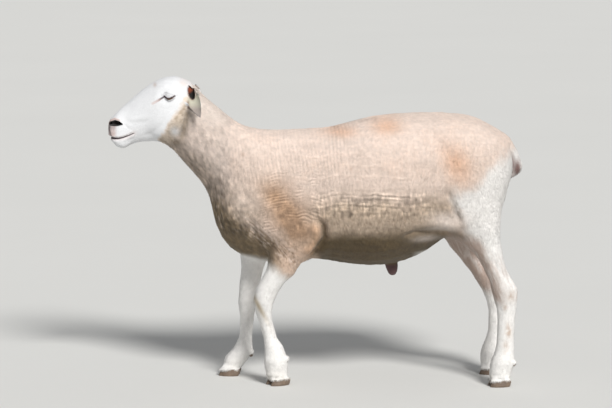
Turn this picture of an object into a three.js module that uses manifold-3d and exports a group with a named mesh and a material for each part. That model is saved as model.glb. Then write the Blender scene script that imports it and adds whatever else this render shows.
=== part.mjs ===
// A shorn, white-faced, polled sheep with a docked tail, standing still at life size.
// It faces -X with its left side towards -Y, +Z is up, and all sizes are millimetres.
//
// The flesh is one implicit body: stations give the trunk's and head's sections, tapered limbs give
// the neck, legs and tail, and ellipsoids give the muscles, all blended where they meet. Each named
// piece is that body's surface, found by rays from a line inside it, less the pieces beside it.
import * as THREE from "three";
import Module from "manifold-3d";

const wasm = await Module();
wasm.setup();

// ---------------------------------------------------------------- driving dimensions
const GAP = 0.3; // clearance between neighbouring pieces
const LEFT = -1;
const RIGHT = 1;
const EYE_RADIUS = 15;
const EYE = { x: -380, y: 46, z: 763 }; // centre of the left eyeball, y outwards
const CLAW = { length: 57, width: 25, height: 26, heel: 17, cleft: 1.8, lean: 9 };
const DEWCLAW = { spread: 11, size: [8, 6, 9] };
const COAT = "#e6d5c6";
const WHITE_HAIR = "#ece8e4";
const HORN = "#6b5449";
const SKIN_DARK = "#6d4f4d";
const EYE_DARK = "#2a2018";

// Half sections along X: top and bottom of the outline, half width, height of the widest level
// as a share of the depth, and the squareness of the section above and below it.
const TRUNK = [
  { x: -215, top: 638, bottom: 362, half: 84, widest: 0.45, upper: 1.9, lower: 2.0 },
  { x: -175, top: 660, bottom: 328, half: 102, widest: 0.45, upper: 1.85, lower: 1.9 },
  { x: -122, top: 671, bottom: 318, half: 116, widest: 0.45, upper: 1.85, lower: 1.9 },
  { x: -42, top: 677, bottom: 325, half: 131, widest: 0.46, upper: 1.9, lower: 2.0 },
  { x: 11, top: 678, bottom: 326, half: 143, widest: 0.47, upper: 2.0, lower: 2.1 },
  { x: 50, top: 682, bottom: 320, half: 151, widest: 0.47, upper: 2.05, lower: 2.1 },
  { x: 90, top: 694, bottom: 314, half: 157, widest: 0.47, upper: 2.1, lower: 2.15 },
  { x: 156, top: 710, bottom: 310, half: 162, widest: 0.47, upper: 2.15, lower: 2.2 },
  { x: 223, top: 716, bottom: 319, half: 162, widest: 0.48, upper: 2.2, lower: 2.15 },
  { x: 276, top: 718, bottom: 339, half: 157, widest: 0.5, upper: 2.2, lower: 2.1 },
  { x: 329, top: 718, bottom: 373, half: 147, widest: 0.52, upper: 2.2, lower: 2.0 },
  { x: 382, top: 712, bottom: 420, half: 133, widest: 0.54, upper: 2.2, lower: 2.0 },
  { x: 421, top: 704, bottom: 448, half: 120, widest: 0.55, upper: 2.15, lower: 2.0 },
  { x: 461, top: 686, bottom: 475, half: 101, widest: 0.55, upper: 2.1, lower: 2.0 },
  { x: 488, top: 667, bottom: 500, half: 82, widest: 0.55, upper: 2.0, lower: 2.0 },
];
const TRUNK_CAP = { front: 40, back: 34 };
const HEAD = [
  { x: -534, top: 706, bottom: 640, half: 29, widest: 0.5, upper: 2.1, lower: 2.2 },
  { x: -520, top: 722, bottom: 627, half: 34, widest: 0.45, upper: 2.0, lower: 2.1 },
  { x: -506, top: 735, bottom: 624, half: 35, widest: 0.42, upper: 1.9, lower: 2.0 },
  { x: -488, top: 751, bottom: 630, half: 37, widest: 0.45, upper: 1.9, lower: 1.9 },
  { x: -464, top: 772, bottom: 635, half: 42, widest: 0.52, upper: 1.95, lower: 1.8 },
  { x: -438, top: 791, bottom: 636, half: 49, widest: 0.6, upper: 2.1, lower: 1.75 },
  { x: -412, top: 805, bottom: 637, half: 56, widest: 0.66, upper: 2.3, lower: 1.75 },
  { x: -386, top: 813, bottom: 640, half: 58, widest: 0.7, upper: 2.4, lower: 1.8 },
  { x: -364, top: 813, bottom: 645, half: 56, widest: 0.66, upper: 2.2, lower: 1.85 },
  { x: -345, top: 807, bottom: 655, half: 53, widest: 0.6, upper: 2.1, lower: 1.9 },
];
const HEAD_CAP = { front: 13, back: 32 };

// A joint or way-point of a tapered limb: centre, half depth fore and aft, half width across.
const node = (x, y, z, deep, wide) => ({ x, y, z, deep, wide });
const NECK = [
  node(-350, 0, 710, 77, 50),
  node(-301, 0, 660, 74, 54),
  node(-255, 0, 616, 78, 64),
  node(-200, 0, 572, 94, 82),
  node(-140, 0, 545, 104, 98),
];
const TAIL = [
  node(470, 0, 645, 24, 32),
  node(496, 0, 622, 24, 27),
  node(516, 0, 600, 21, 21),
  node(529, 0, 576, 17, 17),
  node(530, 0, 562, 13, 15),
];
const SHEATH = [node(203, 0, 334, 18, 16), node(203, 0, 308, 16.5, 14), node(205, 0, 294, 13.5, 12)];

// A leg's way-points run down from inside the trunk to the joint where it is parted, and on to the
// foot. tilts turn the rings of the upper part, and region is the outline, in the XZ plane, below
// which the upper leg is parted from the trunk, from inner outwards across the body.
// The left fore leg stands behind the vertical with its knee bent, the right one is upright, and
// the right hind leg stands a little ahead of the left.
const FORE_LEFT = {
  side: LEFT,
  inner: 36,
  region: [[-150, 322], [5, 345], [5, -20], [-200, -20], [-200, 290]],
  upper: [
    node(-52, 80, 378, 46, 28),
    node(-84, 79, 322, 36, 27),
    node(-112, 77, 279, 26, 25),
    node(-130, 74, 247, 26, 24),
    node(-137, 73, 224, 26, 24),
  ],
  tilts: [-120, -120, -118, -105, -90],
  lower: [
    node(-137, 73, 224, 26, 24),
    node(-137, 72, 206, 22.5, 21),
    node(-132, 71, 178, 16.5, 17),
    node(-124, 70, 144, 16, 15),
    node(-117, 69, 115, 17.5, 16),
    node(-107, 68, 88, 26, 23),
    node(-104, 68, 62, 28, 25),
    node(-102, 68, 40, 28, 26),
    node(-102, 68, 28, 28, 26),
  ],
  foot: { x: -100, y: 68, turn: 0.5 },
  dew: { x: -77, y: 64, z: 66 },
};
const FORE_RIGHT = {
  side: RIGHT,
  inner: 36,
  region: [[-235, 318], [-95, 326], [-95, -20], [-270, -20], [-270, 280]],
  upper: [
    node(-144, 80, 372, 46, 28),
    node(-164, 79, 322, 34, 27),
    node(-170, 78, 275, 26, 25),
    node(-177, 75, 244, 23, 24),
    node(-180, 73, 214, 24, 24),
  ],
  tilts: [-105, -103, -100, -96, -90],
  lower: [
    node(-180, 73, 214, 24, 24),
    node(-182, 73, 192, 23, 23),
    node(-182, 72, 164, 18, 18),
    node(-184, 70, 130, 16, 15),
    node(-186, 69, 98, 17, 16),
    node(-192, 68, 72, 23, 22),
    node(-206, 68, 48, 22, 24),
    node(-219, 68, 36, 23, 25),
    node(-223, 68, 28, 23, 25),
  ],
  foot: { x: -231, y: 68, turn: 0.12 },
  dew: { x: -172, y: 68, z: 58 },
};
const HIND_LEFT = {
  side: LEFT,
  inner: 2,
  region: [[362, 391], [640, 494], [640, -20], [362, -20]],
  upper: [
    node(398, 80, 480, 62, 42),
    node(436, 88, 407, 53, 37),
    node(452, 90, 372, 35, 30),
    node(461, 90, 345, 28, 26),
    node(472, 89, 315, 25, 24),
    node(487, 88, 280, 28, 24),
  ],
  tilts: [-62, -64, -68, -70, -72, -90],
  lower: [
    node(487, 88, 280, 28, 24),
    node(496, 88, 255, 32, 24),
    node(503, 88, 225, 27, 22),
    node(503, 88, 190, 23.5, 18.5),
    node(502, 88, 150, 22, 17.5),
    node(501, 88, 115, 22, 18),
    node(499, 88, 90, 25, 21),
    node(495, 88, 66, 28, 24),
    node(489, 88, 42, 28, 26),
    node(486, 88, 28, 27, 26),
  ],
  hock: node(521, 88, 264, 12, 11),
  foot: { x: 484, y: 88, turn: 0.2 },
  dew: { x: 522, y: 86, z: 60 },
};
const HIND_RIGHT = {
  side: RIGHT,
  inner: 2,
  region: [[338, 380], [640, 492], [640, -20], [338, -20]],
  upper: [
    node(368, 80, 470, 62, 42),
    node(387, 88, 402, 52, 37),
    node(398, 90, 366, 40, 31),
    node(410, 90, 342, 31, 27),
    node(423, 89, 316, 26, 24.5),
    node(447, 88, 278, 27, 24),
  ],
  tilts: [-62, -64, -68, -68, -66, -90],
  lower: [
    node(447, 88, 278, 27, 24),
    node(472, 88, 250, 31, 24),
    node(485, 88, 218, 27, 22),
    node(488, 88, 184, 22.5, 18.5),
    node(488, 88, 146, 21, 17.5),
    node(486, 88, 112, 21, 18),
    node(482, 88, 88, 24, 21),
    node(477, 88, 64, 27, 24),
    node(472, 88, 42, 26, 25),
    node(470, 88, 28, 25, 25),
  ],
  hock: node(494, 88, 262, 12, 11),
  foot: { x: 469, y: 88, turn: 0.12 },
  dew: { x: 502, y: 86, z: 58 },
};

// Muscles and bony points, each on both sides: centre, half sizes along X, Y and Z, the pitch that
// leans the top forward in radians, and how softly it blends in.
const muscle = (x, y, z, sx, sy, sz, lean = 0, soft = 30) => ({ x, y, z, sx, sy, sz, lean, soft });
const TORSO_MUSCLES = [
  muscle(-150, 62, 535, 72, 54, 130, -0.35, 45), // shoulder blade
  muscle(412, 70, 522, 95, 62, 150, 0.12, 40), // haunch
  muscle(382, 66, 640, 70, 58, 55, 0, 40), // hip
  muscle(-150, 0, 462, 124, 86, 128, 0, 30), // breast
];
const SHOULDER_POINT = node(-200, 72, 470, 50, 40);
const UPPER_ARMS = [
  { side: LEFT, nodes: [SHOULDER_POINT, node(-95, 86, 432, 60, 36), node(-26, 87, 396, 40, 34)] },
  { side: RIGHT, nodes: [SHOULDER_POINT, node(-135, 86, 427, 60, 36), node(-76, 87, 394, 38, 34)] },
];
const HEAD_MUSCLES = [
  muscle(-388, 40, 766, 26, 18, 24, 0, 14), // rim of the orbit
  muscle(-388, 28, 690, 46, 24, 44, 0, 20), // cheek
  muscle(-515, 17, 689, 18, 14, 18, 0, 10), // nostril wing
  muscle(-512, 13, 640, 20, 17, 13, 0, 10), // lower lip
];

// ---------------------------------------------------------------- the implicit body
// Every function gives about the distance from a point to a surface, negative inside.
const mix = (a, b, t) => a + (b - a) * t;
const clamp = (v, low, high) => Math.min(high, Math.max(low, v));

// Smooth union of two distances over a band of the given softness.
function blend(a, b, soft) {
  const h = Math.max(soft - Math.abs(a - b), 0) / soft;
  return Math.min(a, b) - (h * h * soft) / 4;
}

// Distance along the ray from the centre, where share is 1 on the surface.
function alongRay(length, share) {
  return share < 1e-6 ? -10 : length - length / share;
}

function ellipsoid(p, m, side) {
  const dx = p.x - m.x;
  const dy = p.y - m.y * side;
  const dz = p.z - m.z;
  const c = Math.cos(m.lean);
  const s = Math.sin(m.lean);
  const u = (dx * c - dz * s) / m.sx;
  const v = dy / m.sy;
  const w = (dx * s + dz * c) / m.sz;
  return alongRay(Math.hypot(dx, dy, dz), Math.hypot(u, v, w));
}

// A tapered limb from a to b whose section is an ellipse, wider or narrower across than it is deep.
function segment(p, a, b, side) {
  const abx = b.x - a.x;
  const aby = (b.y - a.y) * side;
  const abz = b.z - a.z;
  const apx = p.x - a.x;
  const apy = p.y - a.y * side;
  const apz = p.z - a.z;
  const t = clamp((apx * abx + apz * abz) / (abx * abx + abz * abz), 0, 1);
  const dx = apx - abx * t;
  const dy = apy - aby * t;
  const dz = apz - abz * t;
  const inPlane = Math.hypot(dx, dz) / mix(a.deep, b.deep, t);
  return alongRay(Math.hypot(dx, dy, dz), Math.hypot(inPlane, dy / mix(a.wide, b.wide, t)));
}

function chain(p, nodes, side, soft) {
  let d = Infinity;
  for (let i = 0; i + 1 < nodes.length; i++) {
    const next = segment(p, nodes[i], nodes[i + 1], side);
    d = d === Infinity ? next : blend(d, next, soft);
  }
  return d;
}

// Smoothly interpolated station values at x, by a cubic through the neighbouring stations.
function stationAt(stations, x) {
  const last = stations.length - 1;
  let i = 0;
  while (i < last - 1 && x > stations[i + 1].x) i++;
  const a = stations[Math.max(0, i - 1)];
  const b = stations[i];
  const c = stations[i + 1];
  const d = stations[Math.min(last, i + 2)];
  const width = c.x - b.x;
  const t = clamp((x - b.x) / width, 0, 1);
  const value = (key) => {
    const slopeB = ((c[key] - a[key]) / (c.x - a.x)) * width;
    const slopeC = ((d[key] - b[key]) / (d.x - b.x)) * width;
    const t2 = t * t;
    const t3 = t2 * t;
    return (
      (2 * t3 - 3 * t2 + 1) * b[key] +
      (t3 - 2 * t2 + t) * slopeB +
      (3 * t2 - 2 * t3) * c[key] +
      (t3 - t2) * slopeC
    );
  };
  return value;
}

function loft(p, stations, cap) {
  const first = stations[0].x;
  const last = stations[stations.length - 1].x;
  const x = clamp(p.x, first, last);
  const value = stationAt(stations, x);
  const top = value("top");
  const bottom = value("bottom");
  const middle = mix(bottom, top, value("widest"));
  const above = p.z > middle;
  const power = value(above ? "upper" : "lower");
  const dx = p.x - x;
  const dz = p.z - middle;
  const u = Math.abs(p.y) / value("half");
  const v = Math.abs(dz) / (above ? top - middle : middle - bottom);
  const w = Math.abs(dx) / (p.x < first ? cap.front : cap.back);
  const share = Math.hypot((u ** power + v ** power) ** (1 / power), w);
  return alongRay(Math.hypot(dx, p.y, dz), share);
}

function bothSides(p, muscles, start) {
  let d = start;
  for (const m of muscles)
    for (const side of m.y ? [LEFT, RIGHT] : [LEFT]) d = blend(d, ellipsoid(p, m, side), m.soft);
  return d;
}

function torso(p) {
  let d = bothSides(p, TORSO_MUSCLES, loft(p, TRUNK, TRUNK_CAP));
  for (const arm of UPPER_ARMS) d = blend(d, chain(p, arm.nodes, arm.side, 30), 44);
  return d;
}

const neck = (p) => chain(p, NECK, LEFT, 40);
const tail = (p) => chain(p, TAIL, LEFT, 10);
const sheath = (p) => chain(p, SHEATH, LEFT, 6);
const skull = (p) => bothSides(p, HEAD_MUSCLES, loft(p, HEAD, HEAD_CAP));

function leg(p, limb) {
  const d = blend(chain(p, limb.upper, limb.side, 16), chain(p, limb.lower, limb.side, 10), 6);
  return limb.hock ? blend(d, segment(p, limb.hock, limb.lower[2], limb.side), 12) : d;
}

// ---------------------------------------------------------------- surfaces from rays
const scratch = new THREE.Vector3();

// How far the field's surface is from a point inside it, in a direction.
function reach(field, origin, direction) {
  const at = (s) => field(scratch.copy(origin).addScaledVector(direction, s));
  let inner = 0;
  let value = at(0);
  if (value >= 0) throw new Error("a ray starts outside the body at " + origin.toArray());
  let outer = 0;
  for (let i = 0; value < 0 && i < 2000; i++) {
    inner = outer;
    outer += clamp(-value * 0.6, 0.8, 10);
    value = at(outer);
  }
  for (let i = 0; i < 18; i++) {
    const middle = (inner + outer) / 2;
    if (at(middle) < 0) inner = middle;
    else outer = middle;
  }
  return (inner + outer) / 2;
}

function indexed(points, index) {
  const geometry = new THREE.BufferGeometry();
  const position = points.flatMap((p) => p.toArray());
  geometry.setAttribute("position", new THREE.Float32BufferAttribute(position, 3));
  geometry.setIndex(index);
  return geometry;
}

// The wall between rings of points that follow each other in a list.
function wall(rings, first) {
  const count = rings[0].length;
  const index = [];
  const at = (ring, spoke) => first + ring * count + (spoke % count);
  for (let r = 0; r + 1 < rings.length; r++)
    for (let s = 0; s < count; s++) {
      const [a, b, c, d] = [at(r, s), at(r, s + 1), at(r + 1, s + 1), at(r + 1, s)];
      index.push(a, b, c, a, c, d);
    }
  return index;
}

// A closed surface from rings of points, with a point at each end.
function skinRings(start, rings, end) {
  const count = rings[0].length;
  const points = [start, ...rings.flat(), end];
  const index = wall(rings, 1);
  const last = 1 + (rings.length - 1) * count;
  for (let s = 0; s < count; s++) {
    const next = (s + 1) % count;
    index.push(0, 1 + next, 1 + s, points.length - 1, last + s, last + next);
  }
  return indexed(points, index);
}

// A closed surface from flat loops that run out along one side of a leaf and back along the other.
function skinLeaf(loops) {
  const count = loops[0].length;
  const index = wall(loops, 0);
  const last = (loops.length - 1) * count;
  for (let s = 0; s + 1 < count / 2; s++) {
    const [a, b, c, d] = [s, s + 1, count - 2 - s, count - 1 - s];
    index.push(a, c, b, a, d, c);
    index.push(last + a, last + b, last + c, last + a, last + c, last + d);
  }
  return indexed(loops.flat(), index);
}

// The direction that a ring faces, for a tilt in degrees in the XZ plane: 0 looks along +X.
function facing(tilt) {
  const angle = THREE.MathUtils.degToRad(tilt);
  return new THREE.Vector3(Math.cos(angle), 0, Math.sin(angle));
}

// Casts rays from a line inside the body to its surface, in rings that turn with the line's tilts.
// A fan of smaller rings rounds off an end that has caps; an end without them is cut flat.
function castShell(field, line, { rings, spokes, front = 0, back = 0 }) {
  const path = new THREE.CatmullRomCurve3(line.map((n) => new THREE.Vector3(n.x, n.y, n.z)));
  const tiltAt = (u) => {
    const at = u * (line.length - 1);
    const i = Math.min(line.length - 2, Math.floor(at));
    return mix(line[i].tilt, line[i + 1].tilt, at - i);
  };
  const pointOut = (u, polar, spoke) => {
    const origin = path.getPoint(u);
    const forward = facing(tiltAt(u));
    const side = new THREE.Vector3(0, 1, 0);
    const up = new THREE.Vector3().crossVectors(forward, side);
    const angle = (2 * Math.PI * spoke) / spokes;
    const direction = side.multiplyScalar(Math.cos(angle)).addScaledVector(up, Math.sin(angle));
    direction.multiplyScalar(Math.sin(polar)).addScaledVector(forward, -Math.cos(polar));
    return origin.addScaledVector(direction, reach(field, origin, direction));
  };
  const ring = (u, polar) => Array.from({ length: spokes }, (_, s) => pointOut(u, polar, s));
  const quarter = Math.PI / 2;
  const all = [];
  for (let i = 1; i < front; i++) all.push(ring(0, (i / front) * quarter));
  for (let i = 0; i <= rings; i++) all.push(ring(i / rings, quarter));
  for (let i = back - 1; i > 0; i--) all.push(ring(1, Math.PI - (i / back) * quarter));
  const start = front ? pointOut(0, 0, 0) : path.getPoint(0);
  const end = back ? pointOut(1, Math.PI, 0) : path.getPoint(1);
  return solid(skinRings(start, all, end));
}

// ---------------------------------------------------------------- solids
// Surfaces are made facing out or in; a solid is always returned facing out.
function solid(geometry) {
  const vertProperties = new Float32Array(geometry.getAttribute("position").array);
  const triVerts = new Uint32Array(geometry.index.array);
  const mesh = new wasm.Mesh({ numProp: 3, vertProperties, triVerts });
  mesh.merge();
  const made = new wasm.Manifold(mesh);
  if (made.volume() > 0) return made;
  triVerts.reverse();
  return new wasm.Manifold(new wasm.Mesh({ numProp: 3, vertProperties, triVerts }));
}

function bare(geometry) {
  geometry.deleteAttribute("normal");
  geometry.deleteAttribute("uv");
  if (!geometry.index) {
    const count = geometry.getAttribute("position").count;
    geometry.setIndex(Array.from({ length: count }, (_, i) => i));
  }
  return geometry;
}

// The largest separate body of a solid, leaving out slivers that a cut made.
function largest(made) {
  return made.decompose().reduce((a, b) => (b.volume() > a.volume() ? b : a));
}

function meshOf(name, made, colour, roughness, tolerance = 0.25) {
  const { vertProperties, triVerts } = largest(made).simplify(tolerance).getMesh();
  const geometry = new THREE.BufferGeometry();
  geometry.setAttribute("position", new THREE.BufferAttribute(vertProperties, 3));
  geometry.setIndex(new THREE.BufferAttribute(triVerts, 1));
  geometry.computeVertexNormals();
  const material = new THREE.MeshStandardMaterial({ color: colour, roughness, metalness: 0 });
  const mesh = new THREE.Mesh(geometry, material);
  mesh.name = name;
  return mesh;
}

// A prism on one side of the body, from an outline in the XZ plane.
function prism(outline, side, inner, outer) {
  const shape = new THREE.Shape(outline.map(([x, z]) => new THREE.Vector2(x, z)));
  const geometry = new THREE.ExtrudeGeometry(shape, { depth: outer - inner, bevelEnabled: false });
  geometry.rotateX(Math.PI / 2);
  geometry.translate(0, side > 0 ? outer : -inner, 0);
  return solid(bare(geometry));
}

function hollow(x, y, z, sx, sy, sz, around = 12, down = 8) {
  const sphere = new THREE.SphereGeometry(1, around, down);
  return solid(bare(sphere).scale(sx, sy, sz).translate(x, y, z));
}

const onSide = (n, side, tilt) => ({ x: n.x, y: n.y * side, z: n.z, tilt });

// ---------------------------------------------------------------- head, neck and trunk
// The cuts across the neck: a point in each and the way the rings face there.
const HEAD_CUT = { x: -346, y: 0, z: 702, tilt: -38 };
const NECK_CUT = { x: -222, y: 0, z: 590, tilt: -32 };

// The same cut moved back along its facing.
function moved(cut, by) {
  const way = facing(cut.tilt);
  return { ...cut, x: cut.x + way.x * by, z: cut.z + way.z * by };
}

function makeHead(grow) {
  const field = (p) => blend(skull(p), neck(p), 30) - grow;
  const line = [
    { x: -518, y: 0, z: 680, tilt: 12 },
    { x: -474, y: 0, z: 702, tilt: 6 },
    { x: -406, y: 0, z: 722, tilt: -8 },
    HEAD_CUT,
  ];
  let head = castShell(field, line, { rings: 15, spokes: 26, front: 5 });
  if (grow) return head;
  for (const side of [LEFT, RIGHT]) {
    const socket = EYE_RADIUS + GAP;
    head = head.subtract(hollow(EYE.x, EYE.y * side, EYE.z, socket, socket, socket));
    head = head.subtract(hollow(EYE.x, (EYE.y + 13) * side, EYE.z, 15.5, 12, 8));
    head = head.subtract(hollow(-524, 27 * side, 689, 13, 9, 7, 10, 8));
  }
  return head;
}

function makeNeck(grow) {
  const field = (p) => blend(blend(torso(p), neck(p), 38), skull(p), 30) - grow;
  return castShell(field, [moved(HEAD_CUT, GAP), NECK_CUT], { rings: 6, spokes: 26 });
}

// The trunk with the flares of the legs and tail on it, before they are parted from it.
function makeBody(flares) {
  const line = [
    moved(NECK_CUT, GAP),
    { x: -130, y: 0, z: 530, tilt: -24 },
    { x: 10, y: 0, z: 500, tilt: 0 },
    { x: 170, y: 0, z: 510, tilt: 0 },
    { x: 310, y: 0, z: 550, tilt: 0 },
    { x: 440, y: 0, z: 590, tilt: 0 },
  ];
  const field = (p) => blend(torso(p), neck(p), 38);
  const trunk = castShell(field, line, { rings: 23, spokes: 28, back: 4 });
  return flares.reduce((all, flare) => all.add(flare), trunk);
}

// ---------------------------------------------------------------- tail and sheath
const TAIL_REGION = [[509, 672], [700, 672], [700, 500], [526, 500], [525, 545]];

function makeTail() {
  const field = (p) => Math.max(blend(torso(p), tail(p), 24), tail(p) - 24);
  const line = TAIL.slice(0, -1).map((n) => ({ ...n, tilt: -55 }));
  return castShell(field, line, { rings: 5, spokes: 14, front: 2, back: 3 });
}

function makeSheath() {
  const field = (p) => sheath(p);
  return castShell(
    field,
    SHEATH.map((n) => ({ ...n, tilt: -90 })),
    { rings: 3, spokes: 12, back: 3 },
  );
}

// ---------------------------------------------------------------- ears
const EAR = { base: [-326, 26, 781], length: 107, width: 21, thickness: 4.5 };
const EAR_AXIS = new THREE.Vector3(0.22, 0.76, -0.61).normalize();
const EAR_OPENING = new THREE.Vector3(-0.5, 0.62, 0.6);

// A cupped leaf: each loop runs along the outside of the cup and back along its inside.
function makeEar(side) {
  const mirror = (v) => new THREE.Vector3(v.x, v.y * side, v.z);
  const axis = mirror(EAR_AXIS);
  const opening = mirror(EAR_OPENING);
  opening.addScaledVector(axis, -opening.dot(axis)).normalize();
  const across = new THREE.Vector3().crossVectors(axis, opening);
  const base = mirror(new THREE.Vector3(...EAR.base));
  const steps = 9;
  const spokes = 7;
  const loops = [];
  for (let i = 0; i <= steps; i++) {
    const t = (i / steps) * 0.985;
    const taper = Math.sqrt(1 - t ** 4);
    const width = EAR.width * (0.6 + 0.4 * Math.sin(Math.PI * Math.min(1, 0.1 + t))) * taper;
    const curl = mix(1.75, 0.8, Math.min(1, t * 1.4));
    const radius = width / Math.sin(Math.min(curl, Math.PI / 2));
    const thick = Math.min(EAR.thickness * mix(1, 0.5, t), width * 0.4);
    const centre = base.clone().addScaledVector(axis, t * EAR.length);
    const onArc = (share, r) =>
      centre
        .clone()
        .addScaledVector(across, Math.sin(share * curl) * r)
        .addScaledVector(opening, radius - Math.cos(share * curl) * r - 8);
    const shares = Array.from({ length: spokes }, (_, s) => (2 * s) / (spokes - 1) - 1);
    const outside = shares.map((share) => onArc(share, radius));
    const inside = shares.map((share) => onArc(share * 0.96, radius - thick)).reverse();
    loops.push([...outside, ...inside]);
  }
  return solid(skinLeaf(loops));
}

// ---------------------------------------------------------------- legs and feet
const UPPER = { rings: 7, spokes: 14, front: 2 };
const LOWER = { rings: 11, spokes: 12, back: 2 };
const FLARE = 26; // how far round a leg its blend with the trunk runs
const SOLE = 9; // height of the pad between the claws

// One claw, pointed at the toe and straight beside the cleft, leaning back as it rises.
function makeClaw(foot, side, which, grow) {
  const outline = 12;
  const rings = [0, 0.5, 1].map((level) => {
    const ring = [];
    for (let i = 0; i < outline; i++) {
      const a = (2 * Math.PI * (i + 0.5)) / outline;
      const toe = Math.max(0, -Math.cos(a));
      const length = (CLAW.length / 2) * (1 - 0.18 * level) + grow;
      const x = Math.cos(a) * length + CLAW.lean * level;
      const half = CLAW.width / 2;
      const bulge = Math.sign(Math.sin(a)) * Math.abs(Math.sin(a)) ** (Math.sin(a) > 0 ? 1 : 0.45);
      const narrow = 1 - 0.4 * toe ** 3;
      const y = CLAW.cleft + half + bulge * (half * narrow * (1 - 0.12 * level) + grow);
      const top = mix(CLAW.height, CLAW.heel, (Math.cos(a) + 1) / 2) + grow;
      const z = level ? level * top : -grow;
      ring.push(new THREE.Vector3(x, y * which, z));
    }
    return ring;
  });
  const middle = (ring) =>
    ring.reduce((sum, p) => sum.add(p), new THREE.Vector3()).divideScalar(ring.length);
  const geometry = skinRings(middle(rings[0]), rings, middle(rings[rings.length - 1]));
  return solid(geometry.rotateZ(-foot.turn * side).translate(foot.x, foot.y * side, 0));
}

// The two small claws behind the fetlock.
function makeDewclaw(limb, which) {
  const { x, y, z } = limb.dew;
  return hollow(x, y * limb.side + DEWCLAW.spread * which, z, ...DEWCLAW.size, 6, 5);
}

// The upper leg, run up into the trunk and flared into it.
function makeUpper(limb) {
  const field = (p) => Math.max(blend(torso(p), leg(p, limb), FLARE), leg(p, limb) - FLARE);
  const line = limb.upper.map((n, i) => onSide(n, limb.side, limb.tilts[i]));
  return castShell(field, line, UPPER);
}

function makeLower(limb, grow) {
  const field = (p) => Math.max(leg(p, limb), SOLE - p.z) - grow;
  const line = limb.lower.map((n) => onSide(n, limb.side, -90));
  return castShell(field, line, LOWER);
}

// ---------------------------------------------------------------- the whole sheep
const sheep = new THREE.Group();
const LEGS = {
  fore_left: FORE_LEFT,
  fore_right: FORE_RIGHT,
  hind_left: HIND_LEFT,
  hind_right: HIND_RIGHT,
};
const limbs = Object.values(LEGS);
const regions = limbs.map(({ region, side, inner }) => prism(region, side, inner, 220));
const tailRegion = prism(TAIL_REGION, RIGHT, -90, 90);
const tailSolid = makeTail();
const whole = makeBody([tailSolid, ...limbs.map(makeUpper)]);
const clearOfHead = makeHead(GAP).add(makeNeck(GAP));

// The part of the body inside a region, kept clear of what is left outside it.
function within(region) {
  const shifts = [
    [GAP, 0, 0],
    [-GAP, 0, 0],
    [0, GAP, 0],
    [0, -GAP, 0],
    [0, 0, GAP],
    [0, 0, -GAP],
  ];
  return shifts.reduce((made, by) => made.intersect(region.translate(by)), whole);
}

const trunk = [tailRegion, ...regions].reduce((made, region) => made.subtract(region), whole);
sheep.add(meshOf("trunk", trunk, COAT, 0.95));
sheep.add(meshOf("neck", makeNeck(0), COAT, 0.95));
sheep.add(meshOf("head", makeHead(0), WHITE_HAIR, 0.9));
sheep.add(meshOf("tail", within(tailRegion), COAT, 0.95));
sheep.add(meshOf("sheath", makeSheath().subtract(whole.translate([0, 0, -GAP])), SKIN_DARK, 0.8));
Object.entries(LEGS).forEach(([name, limb], i) => {
  sheep.add(meshOf(`leg_${name}_upper`, within(regions[i]), COAT, 0.95));
  let lower = makeLower(limb, 0).translate([0, 0, -GAP]);
  const clear = makeLower(limb, GAP);
  for (const which of [-1, 1]) {
    lower = lower.subtract(makeClaw(limb.foot, limb.side, which, GAP));
    const label = which === limb.side ? "outer" : "inner";
    const claw = makeClaw(limb.foot, limb.side, which, 0);
    const dewclaw = makeDewclaw(limb, which).subtract(clear);
    sheep.add(meshOf(`claw_${name}_${label}`, claw, HORN, 0.55));
    sheep.add(meshOf(`dewclaw_${name}_${label}`, dewclaw, HORN, 0.55, 0.15));
  }
  sheep.add(meshOf(`leg_${name}_lower`, lower, WHITE_HAIR, 0.9));
});
for (const side of [LEFT, RIGHT]) {
  const label = side === LEFT ? "left" : "right";
  const eye = hollow(EYE.x, EYE.y * side, EYE.z, EYE_RADIUS, EYE_RADIUS, EYE_RADIUS);
  sheep.add(meshOf(`ear_${label}`, makeEar(side).subtract(clearOfHead), WHITE_HAIR, 0.9));
  sheep.add(meshOf(`eye_${label}`, eye, EYE_DARK, 0.15));
}

// The origin is the middle of the whole sheep's box, on the floor.
const box = new THREE.Box3().setFromObject(sheep);
const middle = box.getCenter(new THREE.Vector3());
for (const mesh of sheep.children) mesh.geometry.translate(-middle.x, -middle.y, -box.min.z);

export default sheep;
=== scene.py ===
"""A shorn ram, standing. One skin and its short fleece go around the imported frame, with eyes and hooves.

Lengths in this script are millimetres in the frame's own axes: x from nose to rump, y from the left side
to the right, z up. They become metres where a mesh is made. Angles are degrees."""

import math

import bmesh
import bpy
import numpy as np
from mathutils import Matrix, Vector


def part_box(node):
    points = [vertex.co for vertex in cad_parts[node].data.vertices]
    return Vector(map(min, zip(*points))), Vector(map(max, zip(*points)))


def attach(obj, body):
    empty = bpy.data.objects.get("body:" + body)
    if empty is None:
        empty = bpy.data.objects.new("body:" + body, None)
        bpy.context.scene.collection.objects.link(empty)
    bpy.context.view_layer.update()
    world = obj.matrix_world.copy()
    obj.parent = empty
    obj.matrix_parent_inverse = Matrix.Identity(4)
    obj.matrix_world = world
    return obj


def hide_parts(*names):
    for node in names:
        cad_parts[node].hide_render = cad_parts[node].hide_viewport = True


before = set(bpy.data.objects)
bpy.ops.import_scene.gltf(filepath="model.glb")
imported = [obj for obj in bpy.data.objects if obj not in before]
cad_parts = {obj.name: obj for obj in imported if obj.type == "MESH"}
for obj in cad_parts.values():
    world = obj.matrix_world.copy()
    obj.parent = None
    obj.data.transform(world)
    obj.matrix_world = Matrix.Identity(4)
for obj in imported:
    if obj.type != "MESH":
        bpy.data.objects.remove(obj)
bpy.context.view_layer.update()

MM = 0.001
LEFT, RIGHT = -1, 1
SIDES = {"left": LEFT, "right": RIGHT}
SEED = 20

# ---------------------------------------------------------------- numbers and noise


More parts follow.
